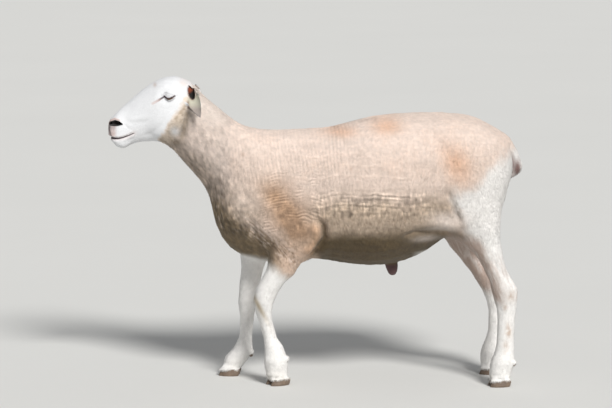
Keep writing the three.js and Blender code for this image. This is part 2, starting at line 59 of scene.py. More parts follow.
def ramp(value, start, end):
    """0 at start, 1 at end and smooth between; start may be the larger one."""
    t = np.clip((np.asarray(value, float) - start) / (end - start), 0, 1)
    return t * t * (3 - 2 * t)


def bump(value, middle, width):
    """1 at the middle, falling smoothly to 0 over about twice the width."""
    return np.exp(-(((value - middle) / width) ** 2))


def lattice(cell, seed):
    """A fixed number from 0 to 1 for each cell of a whole-number lattice."""
    mixed = cell[:, 0] * 73856093 ^ cell[:, 1] * 19349663 ^ cell[:, 2] * 83492791 ^ seed * 6542989
    mixed = (mixed & 0xFFFFFFFF) * 1274126177 & 0xFFFFFFFFFF
    mixed = (mixed ^ mixed >> 15) * 668265263 & 0xFFFFFFFFFF
    return ((mixed >> 12) & 0xFFFF) / 0xFFFF


def noise(points, size, seed=0):
    """Smooth noise from -1 to 1; its lumps are about size across, or size along each axis."""
    scaled = points / size
    cell = np.floor(scaled).astype(np.int64)
    part = scaled - cell
    part = part * part * (3 - 2 * part)
    total = np.zeros(len(points))
    for corner in np.ndindex(2, 2, 2):
        corner = np.array(corner)
        weight = np.abs(1 - corner - part).prod(axis=1)
        total += weight * lattice(cell + corner, seed)
    return total * 2 - 1


def layers(points, size, seed=0, count=3):
    """Several sizes of noise laid over each other, each half the last."""
    total = sum(noise(points, size / 2**i, seed + i) / 2**i for i in range(count))
    return total / 1.5


def unit(vectors):
    return vectors / np.maximum(np.linalg.norm(vectors, axis=-1, keepdims=True), 1e-9)


def path_distance(points, path):
    """The distance of 2-D points from a path of straight runs, and how far along it they are, from 0 to 1."""
    path = np.array(path, float)
    best = np.full(len(points), np.inf)
    along = np.zeros(len(points))
    for i, (a, b) in enumerate(zip(path[:-1], path[1:])):
        run = b - a
        t = np.clip((points - a) @ run / (run @ run), 0, 1)
        distance = np.linalg.norm(points - a - t[:, None] * run, axis=1)
        nearer = distance < best
        best[nearer] = distance[nearer]
        along[nearer] = (i + t[nearer]) / (len(path) - 1)
    return best, along


# ---------------------------------------------------------------- triangle meshes as arrays


def edges_of(tris):
    sides = np.sort(np.concatenate([tris[:, [0, 1]], tris[:, [1, 2]], tris[:, [2, 0]]]), axis=1)
    keys, inverse = np.unique(sides[:, 0].astype(np.int64) << 32 | sides[:, 1], return_inverse=True)
    return np.stack([keys >> 32, keys & 0xFFFFFFFF], axis=1), inverse.reshape(3, -1).T


def normals_of(verts, tris):
    a, b, c = verts[tris[:, 0]], verts[tris[:, 1]], verts[tris[:, 2]]
    face = np.cross(b - a, c - a)
    total = np.stack(
        [sum(np.bincount(tris[:, k], face[:, axis], len(verts)) for k in range(3)) for axis in range(3)],
        axis=1,
    )
    return unit(total)


def relax(verts, tris, weight, rounds):
    """Moves each vertex towards the mean of its neighbours, by its weight, again and again."""
    (a, b), count = edges_of(tris)[0].T, len(verts)
    degree = np.bincount(a, minlength=count) + np.bincount(b, minlength=count)
    for _ in range(rounds):
        mean = np.stack(
            [
                (np.bincount(a, verts[b, axis], count) + np.bincount(b, verts[a, axis], count)) / degree
                for axis in range(3)
            ],
            axis=1,
        )
        verts = verts + weight[:, None] * (mean - verts)
    return verts


def refine(verts, tris, wanted):
    """Halves every edge whose middle is wanted, and cuts the triangles to suit, so that nothing tears."""
    edges, of_tri = edges_of(tris)
    middle = verts[edges].mean(axis=1)
    split = wanted(middle)
    index = np.full(len(edges), -1)
    index[split] = len(verts) + np.arange(split.sum())
    mid = index[of_tri]
    count = (mid >= 0).sum(axis=1)
    made = [tris[count == 0]]

    def add(*corners):
        made.append(np.stack(corners, axis=1))

    t, m = tris[count == 3].T, mid[count == 3].T
    add(t[0], m[0], m[2])
    add(m[0], t[1], m[1])
    add(m[2], m[1], t[2])
    add(m[0], m[1], m[2])
    for turn in range(3):
        turned, halves = np.roll(tris, -turn, axis=1), np.roll(mid, -turn, axis=1)
        chosen = (count == 1) & (halves[:, 0] >= 0)
        t, m = turned[chosen].T, halves[chosen].T
        add(t[0], m[0], t[2])
        add(m[0], t[1], t[2])
        chosen = (count == 2) & (halves[:, 0] < 0)
        t, m = turned[chosen].T, halves[chosen].T
        add(t[0], t[1], m[1])
        add(t[0], m[1], m[2])
        add(m[2], m[1], t[2])
    return np.concatenate([verts, middle[split]]), np.concatenate(made)


def mesh_object(name, verts, tris, material):
    """A smooth-shaded mesh object from vertices in millimetres and triangles."""
    mesh = bpy.data.meshes.new(name)
    mesh.vertices.add(len(verts))
    mesh.vertices.foreach_set("co", (verts * MM).astype(np.float32).ravel())
    mesh.loops.add(tris.size)
    mesh.loops.foreach_set("vertex_index", tris.astype(np.int32).ravel())
    mesh.polygons.add(len(tris))
    mesh.polygons.foreach_set("loop_start", np.arange(0, tris.size, 3, dtype=np.int32))
    mesh.update(calc_edges=True)
    mesh.polygons.foreach_set("use_smooth", np.ones(len(tris), bool))
    mesh.materials.append(material)
    made = bpy.data.objects.new(name, mesh)
    bpy.context.scene.collection.objects.link(made)
    return made


def paint(made, colours):
    """Gives each vertex its marking's colour."""
    layer = made.data.color_attributes.new("markings", "FLOAT_COLOR", "POINT")
    rgba = np.ones((len(colours), 4), np.float32)
    rgba[:, :3] = colours
    layer.data.foreach_set("color", rgba.ravel())


def arrays_of(mesh):
    """A mesh's vertices in millimetres and its triangles."""
    verts = np.empty(len(mesh.vertices) * 3, np.float32)
    mesh.vertices.foreach_get("co", verts)
    mesh.calc_loop_triangles()
    tris = np.empty(len(mesh.loop_triangles) * 3, np.int32)
    mesh.loop_triangles.foreach_get("vertices", tris)
    return verts.reshape(-1, 3).astype(float) / MM, tris.reshape(-1, 3).astype(np.int64)


# ---------------------------------------------------------------- the eye's place


EYE_RADIUS = 15
EYE = np.mean([np.array(corner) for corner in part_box("eye_left")], axis=0) / MM
LID_RADIUS = EYE_RADIUS + 1.3
# The slit between the lids: its height over the eye's centre, along it from front to back.
SLIT_ALONG = [-14.8, -11.5, -8.2, -5.4, -2.6, 2.1, 5.9, 9.6, 13.3]
SLIT_HEIGHT = [1.0, -1.2, -3.3, -5.4, -7.0, -6.8, -5.2, -3.3, 1.0]
SLIT_HALF = [0.0, 0.7, 1.1, 1.4, 1.4, 1.4, 1.3, 1.0, 0.0]
# The fold over the upper lid, in the same way.
FOLD_ALONG = [-16.0, -12.4, -8.8, -1.6, 9.7, 12.7]
FOLD_HEIGHT = [8.4, 9.4, 10.6, 7.6, 4.6, 2.8]


def eye_axes(side):
    """The eye's centre, and its directions outwards, backwards along the slit, and up."""
    centre = EYE * [1, -side, 1]
    out = unit(np.array([-0.22, side * 0.96, 0.16]))
    back = np.array([1.0, 0.0, -0.02])
    back = unit(back - out * (back @ out))
    up = np.cross(out, back) * -side
    return centre, out, back, up


def eye_place(points, side):
    """Points as distances backwards, up and outwards from the eye's centre."""
    centre, out, back, up = eye_axes(side)
    rel = points - centre
    return rel @ back, rel @ up, rel @ out


# ---------------------------------------------------------------- skin

def remeshed(mesh, size):
    """A mesh made anew of even small faces: vertices and triangles."""
    rough = bpy.data.objects.new("rough", mesh)
    bpy.context.scene.collection.objects.link(rough)
    remesh = rough.modifiers.new("remesh", "REMESH")
    remesh.mode = "VOXEL"
    remesh.voxel_size = size * MM
    result = rough.evaluated_get(bpy.context.evaluated_depsgraph_get()).to_mesh()
    verts, tris = arrays_of(result)
    bpy.data.objects.remove(rough)
    return verts, tris


SEAM = 1.0  # how far the pieces of flesh grow, so that they run together
VOXEL = 3.2
CORONET = 3.0  # how far the hairy skin reaches out over the top of each claw
HORN_SHARE = 0.55  # how much of a claw's height is bare horn


def flesh():
    """All the nodes of flesh run together into one closed skin: vertices and triangles."""
    whole = bmesh.new()
    for name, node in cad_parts.items():
        if name.startswith("eye"):
            continue
        piece = bmesh.new()
        piece.from_mesh(node.data)
        bmesh.ops.remove_doubles(piece, verts=piece.verts, dist=0.01 * MM)
        piece.normal_update()
        grow, lowest = SEAM, -math.inf
        if name.startswith(("claw", "dewclaw")):
            levels = [vertex.co.z for vertex in piece.verts]
            grow = CORONET
            lowest = min(levels) + HORN_SHARE * (max(levels) - min(levels))
        for vertex in piece.verts:
            vertex.co += vertex.normal * grow * MM
            vertex.co.z = max(vertex.co.z, lowest)
        grown = bpy.data.meshes.new(name)
        piece.to_mesh(grown)
        whole.from_mesh(grown)
        bpy.data.meshes.remove(grown)
    for side in SIDES.values():
        place = Matrix.Translation(Vector(eye_axes(side)[0]) * MM)
        radius = (EYE_RADIUS + SEAM) * MM
        bmesh.ops.create_icosphere(whole, subdivisions=4, radius=radius, matrix=place)
    mesh = bpy.data.meshes.new("flesh")
    whole.to_mesh(mesh)
    return remeshed(mesh, VOXEL)


EAR_BASE = np.array([-326.0, 26.0, 781.0])
EAR_LENGTH = 107
EAR_AXIS = unit(np.array([0.22, 0.76, -0.61]))
EAR_OPENING = np.array([-0.5, 0.62, 0.6])
EAR_OPENING = unit(EAR_OPENING - EAR_AXIS * (EAR_OPENING @ EAR_AXIS))
EAR_HOLLOW = 8  # how far the hollow's middle lies from the ear's own line


def ear_place(p):
    """Points as shares of the ear's length, and their offsets from the ear's line and its hollow's, mirrored
    so that both ears share one set of axes."""
    rel = p * [1, 0, 1] + np.abs(p) * [0, 1, 0] - EAR_BASE
    along = rel @ EAR_AXIS
    off = rel - along[:, None] * EAR_AXIS
    return along / EAR_LENGTH, off, off - EAR_OPENING * EAR_HOLLOW


def folded(vectors, p):
    """Directions at the given places, with those of the left side turned over to the right."""
    return vectors * [1, 0, 1] + vectors * np.sign(p) * [0, 1, 0]


def near_ear(p):
    """1 on the ears, which are too thin to be smoothed much."""
    along, off, _ = ear_place(p)
    return ramp(along, 0.22, 0.36) * ramp(np.linalg.norm(off, axis=1), 31, 27) * (along < 1.2)


def ear_inside(p, normals):
    """1 on the walls of the ear's hollow, 0 on its back and on the head."""
    along, off, to_hollow = ear_place(p)
    inwards = -np.sum(folded(normals, p) * unit(to_hollow), axis=1)
    near = ramp(along, 0.22, 0.3) * ramp(along, 1.05, 0.95) * ramp(np.linalg.norm(off, axis=1), 31, 25)
    return near * ramp(inwards, -0.05, 0.4)


CONCH = (-326.0, 772.5)  # the middle of the ear's dark opening, by (x, z)
CONCH_HALF = (10.0, 20.0)
CONCH_DEPTH = 16


def conch(p):
    """1 in the dark opening of each ear, where it goes into the head."""
    x, y, z = p.T
    leaning = x - CONCH[0] + 0.16 * (z - CONCH[1])
    distance = np.sqrt((leaning / CONCH_HALF[0]) ** 2 + ((z - CONCH[1]) / CONCH_HALF[1]) ** 2)
    return ramp(distance, 1.08, 0.8) * ramp(np.abs(y), 24, 30) * ramp(z, 794, 789)


TAIL_BOX = [np.array(corner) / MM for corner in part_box("tail")]
SHEATH_BOX = [np.array(corner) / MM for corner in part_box("sheath")]


def near_box(p, box, reach):
    """1 inside a box, falling to 0 at that distance outside it."""
    outside = np.maximum(box[0] - p, 0) + np.maximum(p - box[1], 0)
    return ramp(np.linalg.norm(outside, axis=1), reach, 0)


def thin_parts(p):
    """1 on the legs, tail, sheath and ears, which would waste away under plain smoothing."""
    legs = ramp(p[:, 2], 400, 340)
    return np.maximum.reduce([legs, near_ear(p), near_box(p, TAIL_BOX, 12), near_box(p, SHEATH_BOX, 8)])


def smoothness(p):
    """How much of the full smoothing each place takes: most on the trunk, least on the head."""
    x, y, z = p.T
    trunk = ramp(z, 300, 420) * ramp(x, -330, -210)
    neck = ramp(x, -370, -300) * ramp(z, 400, 460)
    full = np.maximum.reduce([trunk, 0.35 * neck, np.full(len(p), 0.06)])
    return full * (1 - thin_parts(p))


def coat_depth(p):
    """How deep the skin lies under the tips of the coat."""
    zone = zones(p)
    deep = 0.9 + 0.9 * zone["fleece"] - 0.3 * zone["muzzle"]
    return deep * (1 - 0.4 * near_ear(p)) * (1 - 0.7 * zone["sheath"])


def eye_region(reach):
    """Says which points lie within reach of an eye."""

    def wanted(p):
        near = [np.linalg.norm(p - eye_axes(side)[0], axis=1) < reach for side in SIDES.values()]
        return near[0] | near[1]

    return wanted


def slit_region(band):
    """Says which points lie within band of the slit's edge."""

    def wanted(p):
        found = np.zeros(len(p), bool)
        for side in SIDES.values():
            along, up, out = eye_place(p, side)
            gap = np.abs(up - np.interp(along, SLIT_ALONG, SLIT_HEIGHT))
            found |= (gap < band) & (np.abs(along) < 17) & (out > 0) & (out < 26)
        return found

    return wanted


MOUTH = [(-549, 653), (-539, 651), (-530, 649.5), (-518, 650), (-505, 653), (-491, 658), (-477, 665)]
MOUTH_WIDTH = [2.6, 2.9, 3.0, 2.5, 2.0, 1.5, 0.9]
NOSTRIL = [(-509, 688.5), (-518, 690), (-527, 690.5), (-536, 689), (-544, 687)]
NOSTRIL_REACH = [2.4, 6.6, 8.0, 6.4, 4.4]
CHIN_DROP = 4
NOSTRIL_INWARDS = (0.62, -0.76, 0.14)  # on the right side


def nostril_share(p):
    """How far each place is from the line of its side's nostril, as shares of the nostril's reach there."""
    distance, along = path_distance(p[:, [0, 2]], NOSTRIL)
    reach = np.interp(along * (len(NOSTRIL) - 1), range(len(NOSTRIL)), NOSTRIL_REACH)
    return distance / reach + ramp(np.abs(p[:, 1]), 11, 6), reach


def muzzle_region(reach):
    """Says which points lie within reach of the mouth's line or a nostril."""

    def wanted(p):
        mouth, _ = path_distance(p[:, [0, 2]], MOUTH)
        nostril, _ = path_distance(p[:, [0, 2]], NOSTRIL)
        return (mouth < reach) | (nostril < reach + 6)

    return wanted


def sculpt_eyes(verts):
    """Rounds the lids over each eyeball, folds the skin over them and opens the slit between them."""
    for side in SIDES.values():
        centre, out, _, _ = eye_axes(side)
        along, up, outward = eye_place(verts, side)
        distance = np.linalg.norm(verts - centre, axis=1)
        direction = unit(verts - centre)
        near = (outward > 0) & (distance < 40)
        facing = direction @ out
        lid = near * ramp(facing, 0.30, 0.72)
        gap = np.abs(up - np.interp(along, SLIT_ALONG, SLIT_HEIGHT)) - np.interp(along, SLIT_ALONG, SLIT_HALF)
        ends = ramp(np.abs(along), 18, 12)
        fold = bump(up, np.interp(along, FOLD_ALONG, FOLD_HEIGHT), 1.7) * ends
        pouch = bump(up, np.interp(along, SLIT_ALONG, SLIT_HEIGHT) - 7.5, 1.8) * ends
        target = LID_RADIUS - 1.2 * fold - 0.7 * pouch + 0.9 * bump(gap, 1.5, 1.5) * ends
        reach = distance + lid * (target - distance)
        opening = near * (facing > 0.4) * ramp(gap, 0.5, -0.4) * (np.abs(along) < 15)
        reach = reach + opening * (EYE_RADIUS - 2.5 - reach)
        verts = np.where(near[:, None], centre + direction * reach[:, None], verts)
    return verts


def groove(flat, path, width, fade=0.15):
    """How deep a groove along a path is at each flat point, from 0 to 1; it dies away at its ends."""
    distance, along = path_distance(flat, path)
    return np.exp(-((distance / width) ** 2)) * ramp(along, 0, fade) * ramp(along, 1, 1 - fade)


TEAR = [(-395, 764), (-402, 760), (-412, 753.5), (-427, 745)]


LIP_LINE = [(-541, 686), (-543, 674), (-539, 660), (-536, 654)]  # from the nostril down to the mouth


def sculpt_head(verts, tris):
    """Nostrils, mouth, lips, the folds of the face and the ears' openings; also where each pair of hollows is."""
    normals = normals_of(verts, tris)
    x, y, z = verts.T
    flat = verts[:, [0, 2]]
    face = ramp(x, -340, -370)
    side = face * ramp(np.abs(normals[:, 1]), 0.2, 0.5)
    push = -1.8 * groove(flat, TEAR, 2.2) * side
    push -= 0.8 * groove(flat, CHEEK_BONE, 6, 0.3) * side
    push += 1.0 * groove(flat, [(a, b + 10) for a, b in CHEEK_BONE], 7, 0.3) * side
    push -= 2.0 * groove(flat, JAW_EDGE, 8, 0.3) * side
    push -= 1.2 * groove(flat, LIP_FOLD, 3.5, 0.3) * side
    distance, along = path_distance(flat, MOUTH)
    width = np.interp(along * (len(MOUTH) - 1), range(len(MOUTH)), MOUTH_WIDTH)
    ends = ramp(along, 1.0, 0.95)
    push += face * ends * (1.1 * bump(distance, 6.5, 3.0) - 2.2 * width * np.exp(-((distance / width) ** 2)))
    verts = verts + normals * push[:, None]
    share, reach = nostril_share(verts)
    dark = ramp(share, 1.1, 0.85)
    pit = 12.0 * ramp(share, 1.05, 0.5) * ramp(reach, 1.5, 5.0)
    into = np.array(NOSTRIL_INWARDS) * np.stack([pit, pit * np.sign(verts[:, 1]), pit], axis=1)
    rim = 0.8 * bump(share, 1.4, 0.25)
    middle = face * bump(verts[:, 1], 0, 1.8) * ramp(z, 661, 668) * ramp(z, 694, 686) * ramp(x, -525, -535)
    verts = verts + normals * (rim - 1.8 * middle)[:, None] + into
    verts[:, 2] -= CHIN_DROP * face * bump(x, -510, 24) * ramp(z, 650, 636)
    hole = conch(verts)
    inwards = np.stack([0.1 * hole, -np.sign(y) * hole, 0.1 * hole], axis=1)
    return verts + CONCH_DEPTH * inwards, dark, hole


CHEEK_BONE = [(-503, 695), (-480, 693), (-455, 695), (-425, 703)]
JAW_EDGE = [(-462, 655), (-430, 664), (-400, 690), (-384, 722)]
LIP_FOLD = [(-505, 690), (-494, 680), (-482, 672)]

def ear_region(p):
    along, off, _ = ear_place(p)
    return (along > 0.05) & (along < 1.1) & (np.linalg.norm(off, axis=1) < 31)


def skin_arrays():
    verts, tris = flesh()
    verts = relax(verts, tris, np.full(len(verts), 0.5), 2)
    verts = relax(verts, tris, 0.8 * smoothness(verts), 68)
    thin = thin_parts(verts)
    for _ in range(14):
        verts = relax(verts, tris, 0.6 * thin, 1)
        verts = relax(verts, tris, -0.62 * thin, 1)
    verts -= normals_of(verts, tris) * (coat_depth(verts) + SEAM)[:, None]
    verts, tris = refine(verts, tris, eye_region(34))
    verts, tris = refine(verts, tris, muzzle_region(9))
    verts, tris = refine(verts, tris, ear_region)
    local = (eye_region(33)(verts) | muzzle_region(8)(verts) | ear_region(verts)).astype(float)
    verts = relax(verts, tris, 0.4 * local, 3)
    verts, tris = refine(verts, tris, slit_region(7))
    verts, tris = refine(verts, tris, muzzle_region(4.5))
    verts, tris = refine(verts, tris, slit_region(4))
    local = (slit_region(8)(verts) | muzzle_region(5)(verts)).astype(float)
    verts = relax(verts, tris, 0.4 * local, 4)
    verts = sculpt_body(verts, tris)
    verts = sculpt_legs(verts, tris)
    verts = sculpt_eyes(verts)
    verts, nostrils, ears = sculpt_head(verts, tris)
    return verts, tris, nostrils, ears


ELBOW_BACK = [(-4, 462), (20, 436), (24, 400), (8, 370), (-10, 350), (-28, 322)]
ELBOW = [(-16, 446), (2, 420), (3, 396), (-14, 372), (-32, 350)]
# Folds and creases of each side, by (x, z): their path, half width, and depth; a ridge has a depth below 0.
BODY_FOLDS = [
    (ELBOW_BACK, 8, 13.0),
    (ELBOW, 11, -8.0),
    ([(-190, 470), (-160, 410), (-138, 360), (-126, 322)], 14, 4.5),  # before the upper arm
    ([(-186, 540), (-140, 492), (-100, 470)], 16, -3.0),  # point of the shoulder
    ([(-120, 640), (-95, 560), (-60, 500)], 22, 2.5),  # before the shoulder blade
    ([(0, 640), (10, 560), (18, 480)], 24, 3.0),  # behind the shoulder blade
    ([(270, 436), (310, 440), (350, 432), (380, 412)], 14, -7.0),  # fold of the flank
    ([(215, 400), (265, 414), (330, 412), (372, 396)], 8, 8.0),  # under it
    ([(338, 540), (352, 500), (366, 466), (386, 430)], 9, 6.0),  # between flank and stifle
    ([(350, 500), (378, 462), (398, 420)], 18, -3.5),  # stifle
    ([(508, 540), (500, 480), (488, 420), (480, 370)], 12, 3.0),  # behind the thigh
    ([(330, 640), (352, 600), (362, 556)], 20, 2.5),  # below the hip bone
]
TAIL_SIDE = [(36, 640), (29, 600), (22, 565), (14, 543), (0, 536)]  # (|y|, z)
JAW_BEHIND = [(-336, 738), (-342, 705), (-350, 672), (-362, 645)]
# Long rows left by the shears on each side: height, start and end.
SHEAR_ROWS = [(616, -60, 130), (588, 70, 200), (562, -60, 240), (517, 0, 310), (508, 60, 250), (489, -10, 300)]


def shear_marks(p):
    """How far the rows of the shears, the fine combing of the back and the shoulder's wrinkles stand up."""
    x, y, z = p.T
    side = ramp(np.abs(y), 45, 75)
    sway = 7 * noise(p * [1, 0, 0], 80, 5) + 2.4 * noise(p * [1, 0, 0], 14, 6)
    rows = np.zeros(len(p))
    for height, start, end in SHEAR_ROWS:
        inside = ramp(x, start - 30, start + 30) * ramp(x, end + 30, end - 30)
        under = 0.6 * (height < 520) * bump(z, height - 6 + sway, 3.2)
        rows += inside * (bump(z, height + sway, 2.8) - under)
    rows *= np.clip(0.65 + 0.6 * noise(p, 38, 9), 0.1, 1) * side
    comb = np.sin(2 * math.pi * (x + 0.12 * z) / 9.5 + 3.0 * noise(p, 60, 8))
    combed = ramp(x, -240, -200) * ramp(x, 160, 60) * ramp(z, 490, 560) * (0.6 + 0.4 * noise(p, 50, 10))
    fanned = z + 0.0022 * (x + 60) ** 2 - 0.1 * x - 0.0009 * (x + 60) * (z - 520)
    wrinkle = np.sin(2 * math.pi * fanned / 8.0 + 4.5 * noise(p, 26, 3) + 1.6 * noise(p, 9, 4))
    wrinkled = ramp(x, -165, -110) * ramp(x, 40, -10) * ramp(z, 400, 440) * ramp(z, 600, 545) * side
    return rows, comb * combed, wrinkle * wrinkled * np.clip(0.4 + 0.9 * noise(p, 22, 13), 0, 1)


def sculpt_body(verts, tris):
    """Folds of skin, wrinkles on the shoulder, the rows of the shears and the tail's edges."""
    normals = normals_of(verts, tris)
    x, y, z = verts.T
    side = ramp(np.abs(normals[:, 1]), 0.15, 0.5) * ramp(np.abs(y), 45, 75)
    flat = verts[:, [0, 2]]
    push = np.zeros(len(verts))
    for path, width, depth in BODY_FOLDS:
        push -= depth * groove(flat, path, width, 0.25) * side
    tail = ramp(x, 500, 512)
    behind = np.stack([np.abs(y), z], axis=1)
    push -= 6 * groove(behind, TAIL_SIDE, 5, 0.08) * tail
    push -= 7 * groove(flat, JAW_BEHIND, 10, 0.3) * ramp(np.abs(y), 12, 30)
    rows, comb, wrinkle = shear_marks(verts)
    uneven = layers(verts, 30, 11) * ramp(z, 300, 400) * ramp(x, -330, -280)
    woolly = zones(verts)["fleece"] * layers(verts * [1, 1, 0.6], 9, 14)
    push += 1.3 * rows + 0.3 * comb + 0.9 * wrinkle + 1.3 * uneven + 0.7 * woolly
    return verts + normals * push[:, None]


def sculpt_legs(verts, tris):
    """Tendons, the points of the joints and the rings of skin over the hooves."""
    normals = normals_of(verts, tris)
    x, y, z = verts.T
    push = np.zeros(len(verts))
    for name, top in (("fore_left", 224), ("fore_right", 214), ("hind_left", 280), ("hind_right", 278)):
        low, high = [np.array(corner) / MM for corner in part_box(f"leg_{name}_lower")]
        inside = (y > low[1] - 6) & (y < high[1] + 6) & (x > low[0] - 30) & (x < high[0] + 30) & (z < top + 90)
        leg = verts[inside]
        steps = np.linspace(0, top + 90, 24)
        which = np.digitize(leg[:, 2], steps) - 1
        filled = np.unique(which)
        front = np.array([leg[which == k, 0].min() for k in filled])
        back = np.array([leg[which == k, 0].max() for k in filled])
        heights = (steps[filled] + steps[np.minimum(filled + 1, len(steps) - 1)]) / 2
        share = (leg[:, 0] - np.interp(leg[:, 2], heights, front)) / np.interp(leg[:, 2], heights, back - front)
        level = leg[:, 2]
        lateral = ramp(np.abs(normals[inside, 1]), 0.2, 0.6)
        tendon = bump(share, 0.66, 0.09) * ramp(level, 78, 100) * ramp(level, top - 10, top - 45)
        hollow = bump(share, 0.62, 0.13) * bump(level, top + 38, 24) * (name.startswith("hind"))
        joint = bump(level, 66, 12) + 0.8 * bump(level, top - 8, 16)
        push[inside] += lateral * (-1.6 * tendon - 3.2 * hollow) + 1.0 * joint * lateral
        push[inside] += 0.8 * bump(level, 27, 5) + 2.2 * bump(level, 62, 20)
    push += 0.5 * layers(verts, 16, 12) * ramp(z, 380, 330)
    return verts + normals * push[:, None]


# ---------------------------------------------------------------- markings


def tint(red, green, blue):
    """A colour given as on a screen, from 0 to 255, as light."""
    share = np.array([red, green, blue]) / 255
    return np.where(share < 0.04045, share / 12.92, ((share + 0.055) / 1.055) ** 2.4)


FACE_WHITE = tint(229, 230, 232)
LEG_WHITE = tint(242, 240, 237)
HAUNCH_WHITE = tint(236, 234, 231)
CREAM = tint(233, 215, 203)
PEACH = tint(222, 184, 158)
SIDE_FLEECE = tint(223, 204, 191)
NECK_FLEECE = tint(230, 214, 203)
CHEEK_WOOL = tint(222, 207, 190)
WOOL_DIRT = tint(160, 138, 110)
SHOULDER_TAN = tint(174, 143, 117)
FOREARM_TAN = tint(214, 186, 164)
ELBOW_TAN = tint(220, 182, 150)
POINT_PALE = tint(222, 204, 190)
FLANK_GREY = tint(182, 163, 143)
FOLD_PALE = tint(226, 212, 202)
# Painted shade: the next three colours stand in for the shade under the belly, on the breast and front of the neck,
# and in the throat behind the jaw.
BELLY_SHADE = tint(94, 78, 52)
BRISKET_SHADE = tint(124, 106, 80)
THROAT_SHADE = tint(134, 120, 102)
FLECK = tint(104, 80, 56)
SHANK = tint(178, 158, 146)
STAIN = tint(150, 128, 84)
NOSE_PINK = tint(198, 166, 156)
NOSE_GREY = tint(96, 88, 92)
NOSTRIL_SHADE = tint(24, 17, 17)
LID_DARK = tint(60, 40, 48)
LID_BROWN = tint(122, 84, 60)
EAR_RED = tint(128, 62, 34)
EAR_CANAL_SHADE = tint(16, 10, 9)
EAR_LEAF_AND_BOUNCE_LIGHT = tint(180, 175, 146)
EAR_TIP_SHADE = tint(156, 144, 138)
NAPE = tint(244, 231, 221)
TAIL_SKIN = tint(112, 74, 68)
SHEATH_SKIN = tint(96, 70, 70)

FACE_EDGE_HEIGHT = [640, 650, 665, 697, 726, 758, 775, 800]
FACE_EDGE = [-412, -408, -402, -378, -358, -340, -330, -322]
WOOL_EDGE_HEIGHT = [640, 649, 673, 694, 726, 750]
WOOL_EDGE = [-382, -378, -366, -351, -342, -336]
HAUNCH_EDGE_X = [340, 378, 419, 444, 480, 526, 560]
HAUNCH_EDGE_Z = [528, 530, 540, 570, 606, 622, 634]
HAUNCH_FRONT_Z = [400, 431, 463, 503, 530]
HAUNCH_FRONT_X = [402, 394, 376, 366, 360]
BELLY_EDGE_X = [-60, 0, 60, 200, 280, 330, 380]
BELLY_EDGE_Z = [372, 398, 412, 420, 424, 419, 410]


def zones(p):
    """How much each place belongs to the parts of the body that differ in coat or colour."""
    x, y, z = p.T
    ragged = 5 * layers(p, 14, 31)
    wide = 14 * layers(p, 45, 32)
    tufty = 7 * layers(p, 9, 35)
    face = ramp(x - np.interp(z, FACE_EDGE_HEIGHT, FACE_EDGE) + ragged + tufty, 9, -9) * ramp(z, 560, 600)
    face = np.maximum(face, near_ear(p))
    behind = ramp(x - np.interp(z, HAUNCH_FRONT_Z, HAUNCH_FRONT_X) + ragged + wide, -20, 20)
    haunch = behind * ramp(z - np.interp(x, HAUNCH_EDGE_X, HAUNCH_EDGE_Z) + 2 * ragged + wide, 26, -26)
    hind = np.maximum(ramp(x, 250, 290) * ramp(z, 362, 346), ramp(x, 335, 365) * ramp(z, 410, 350))
    fore = ramp(z + 2 * ragged + 0.64 * (x + 119), 348, 296) * ramp(x, 250, 200) * ramp(z, 352, 326)
    muzzle = ramp(x, -500, -530)
    sheath = near_box(p, SHEATH_BOX, 5) * ramp(z, SHEATH_BOX[1][2] - 2, SHEATH_BOX[1][2] - 12)
    leg = np.maximum(hind, fore)
    bare = np.maximum.reduce([face, leg, 0.45 * haunch, sheath])
    return {
        "face": face,
        "haunch": haunch,
        "leg": leg,
        "muzzle": muzzle,
        "sheath": sheath,
        "fleece": 1 - bare,
        "neck": ramp(x, -205, -245) * (1 - face) * ramp(z, 470, 520),
    }


SHOULDER = [(-116, 545), (-98, 490), (-58, 440), (-34, 400)]  # the middle of the shoulder's tan patch


def lay(base, colour, share):
    """Lays a colour over what is there, by its share at each place."""
    share = np.asarray(share)[:, None]
    return base * (1 - share) + colour * share


def strands(p, width, length, lean, seed):
    """Streaks from -1 to 1 that run down the sides; the lean is how far back they go as they fall."""
    leaning = p + p[:, 2:] * np.array([lean, 0.0, 0.0])
    return layers(leaning, np.array([width, width, length]), seed)


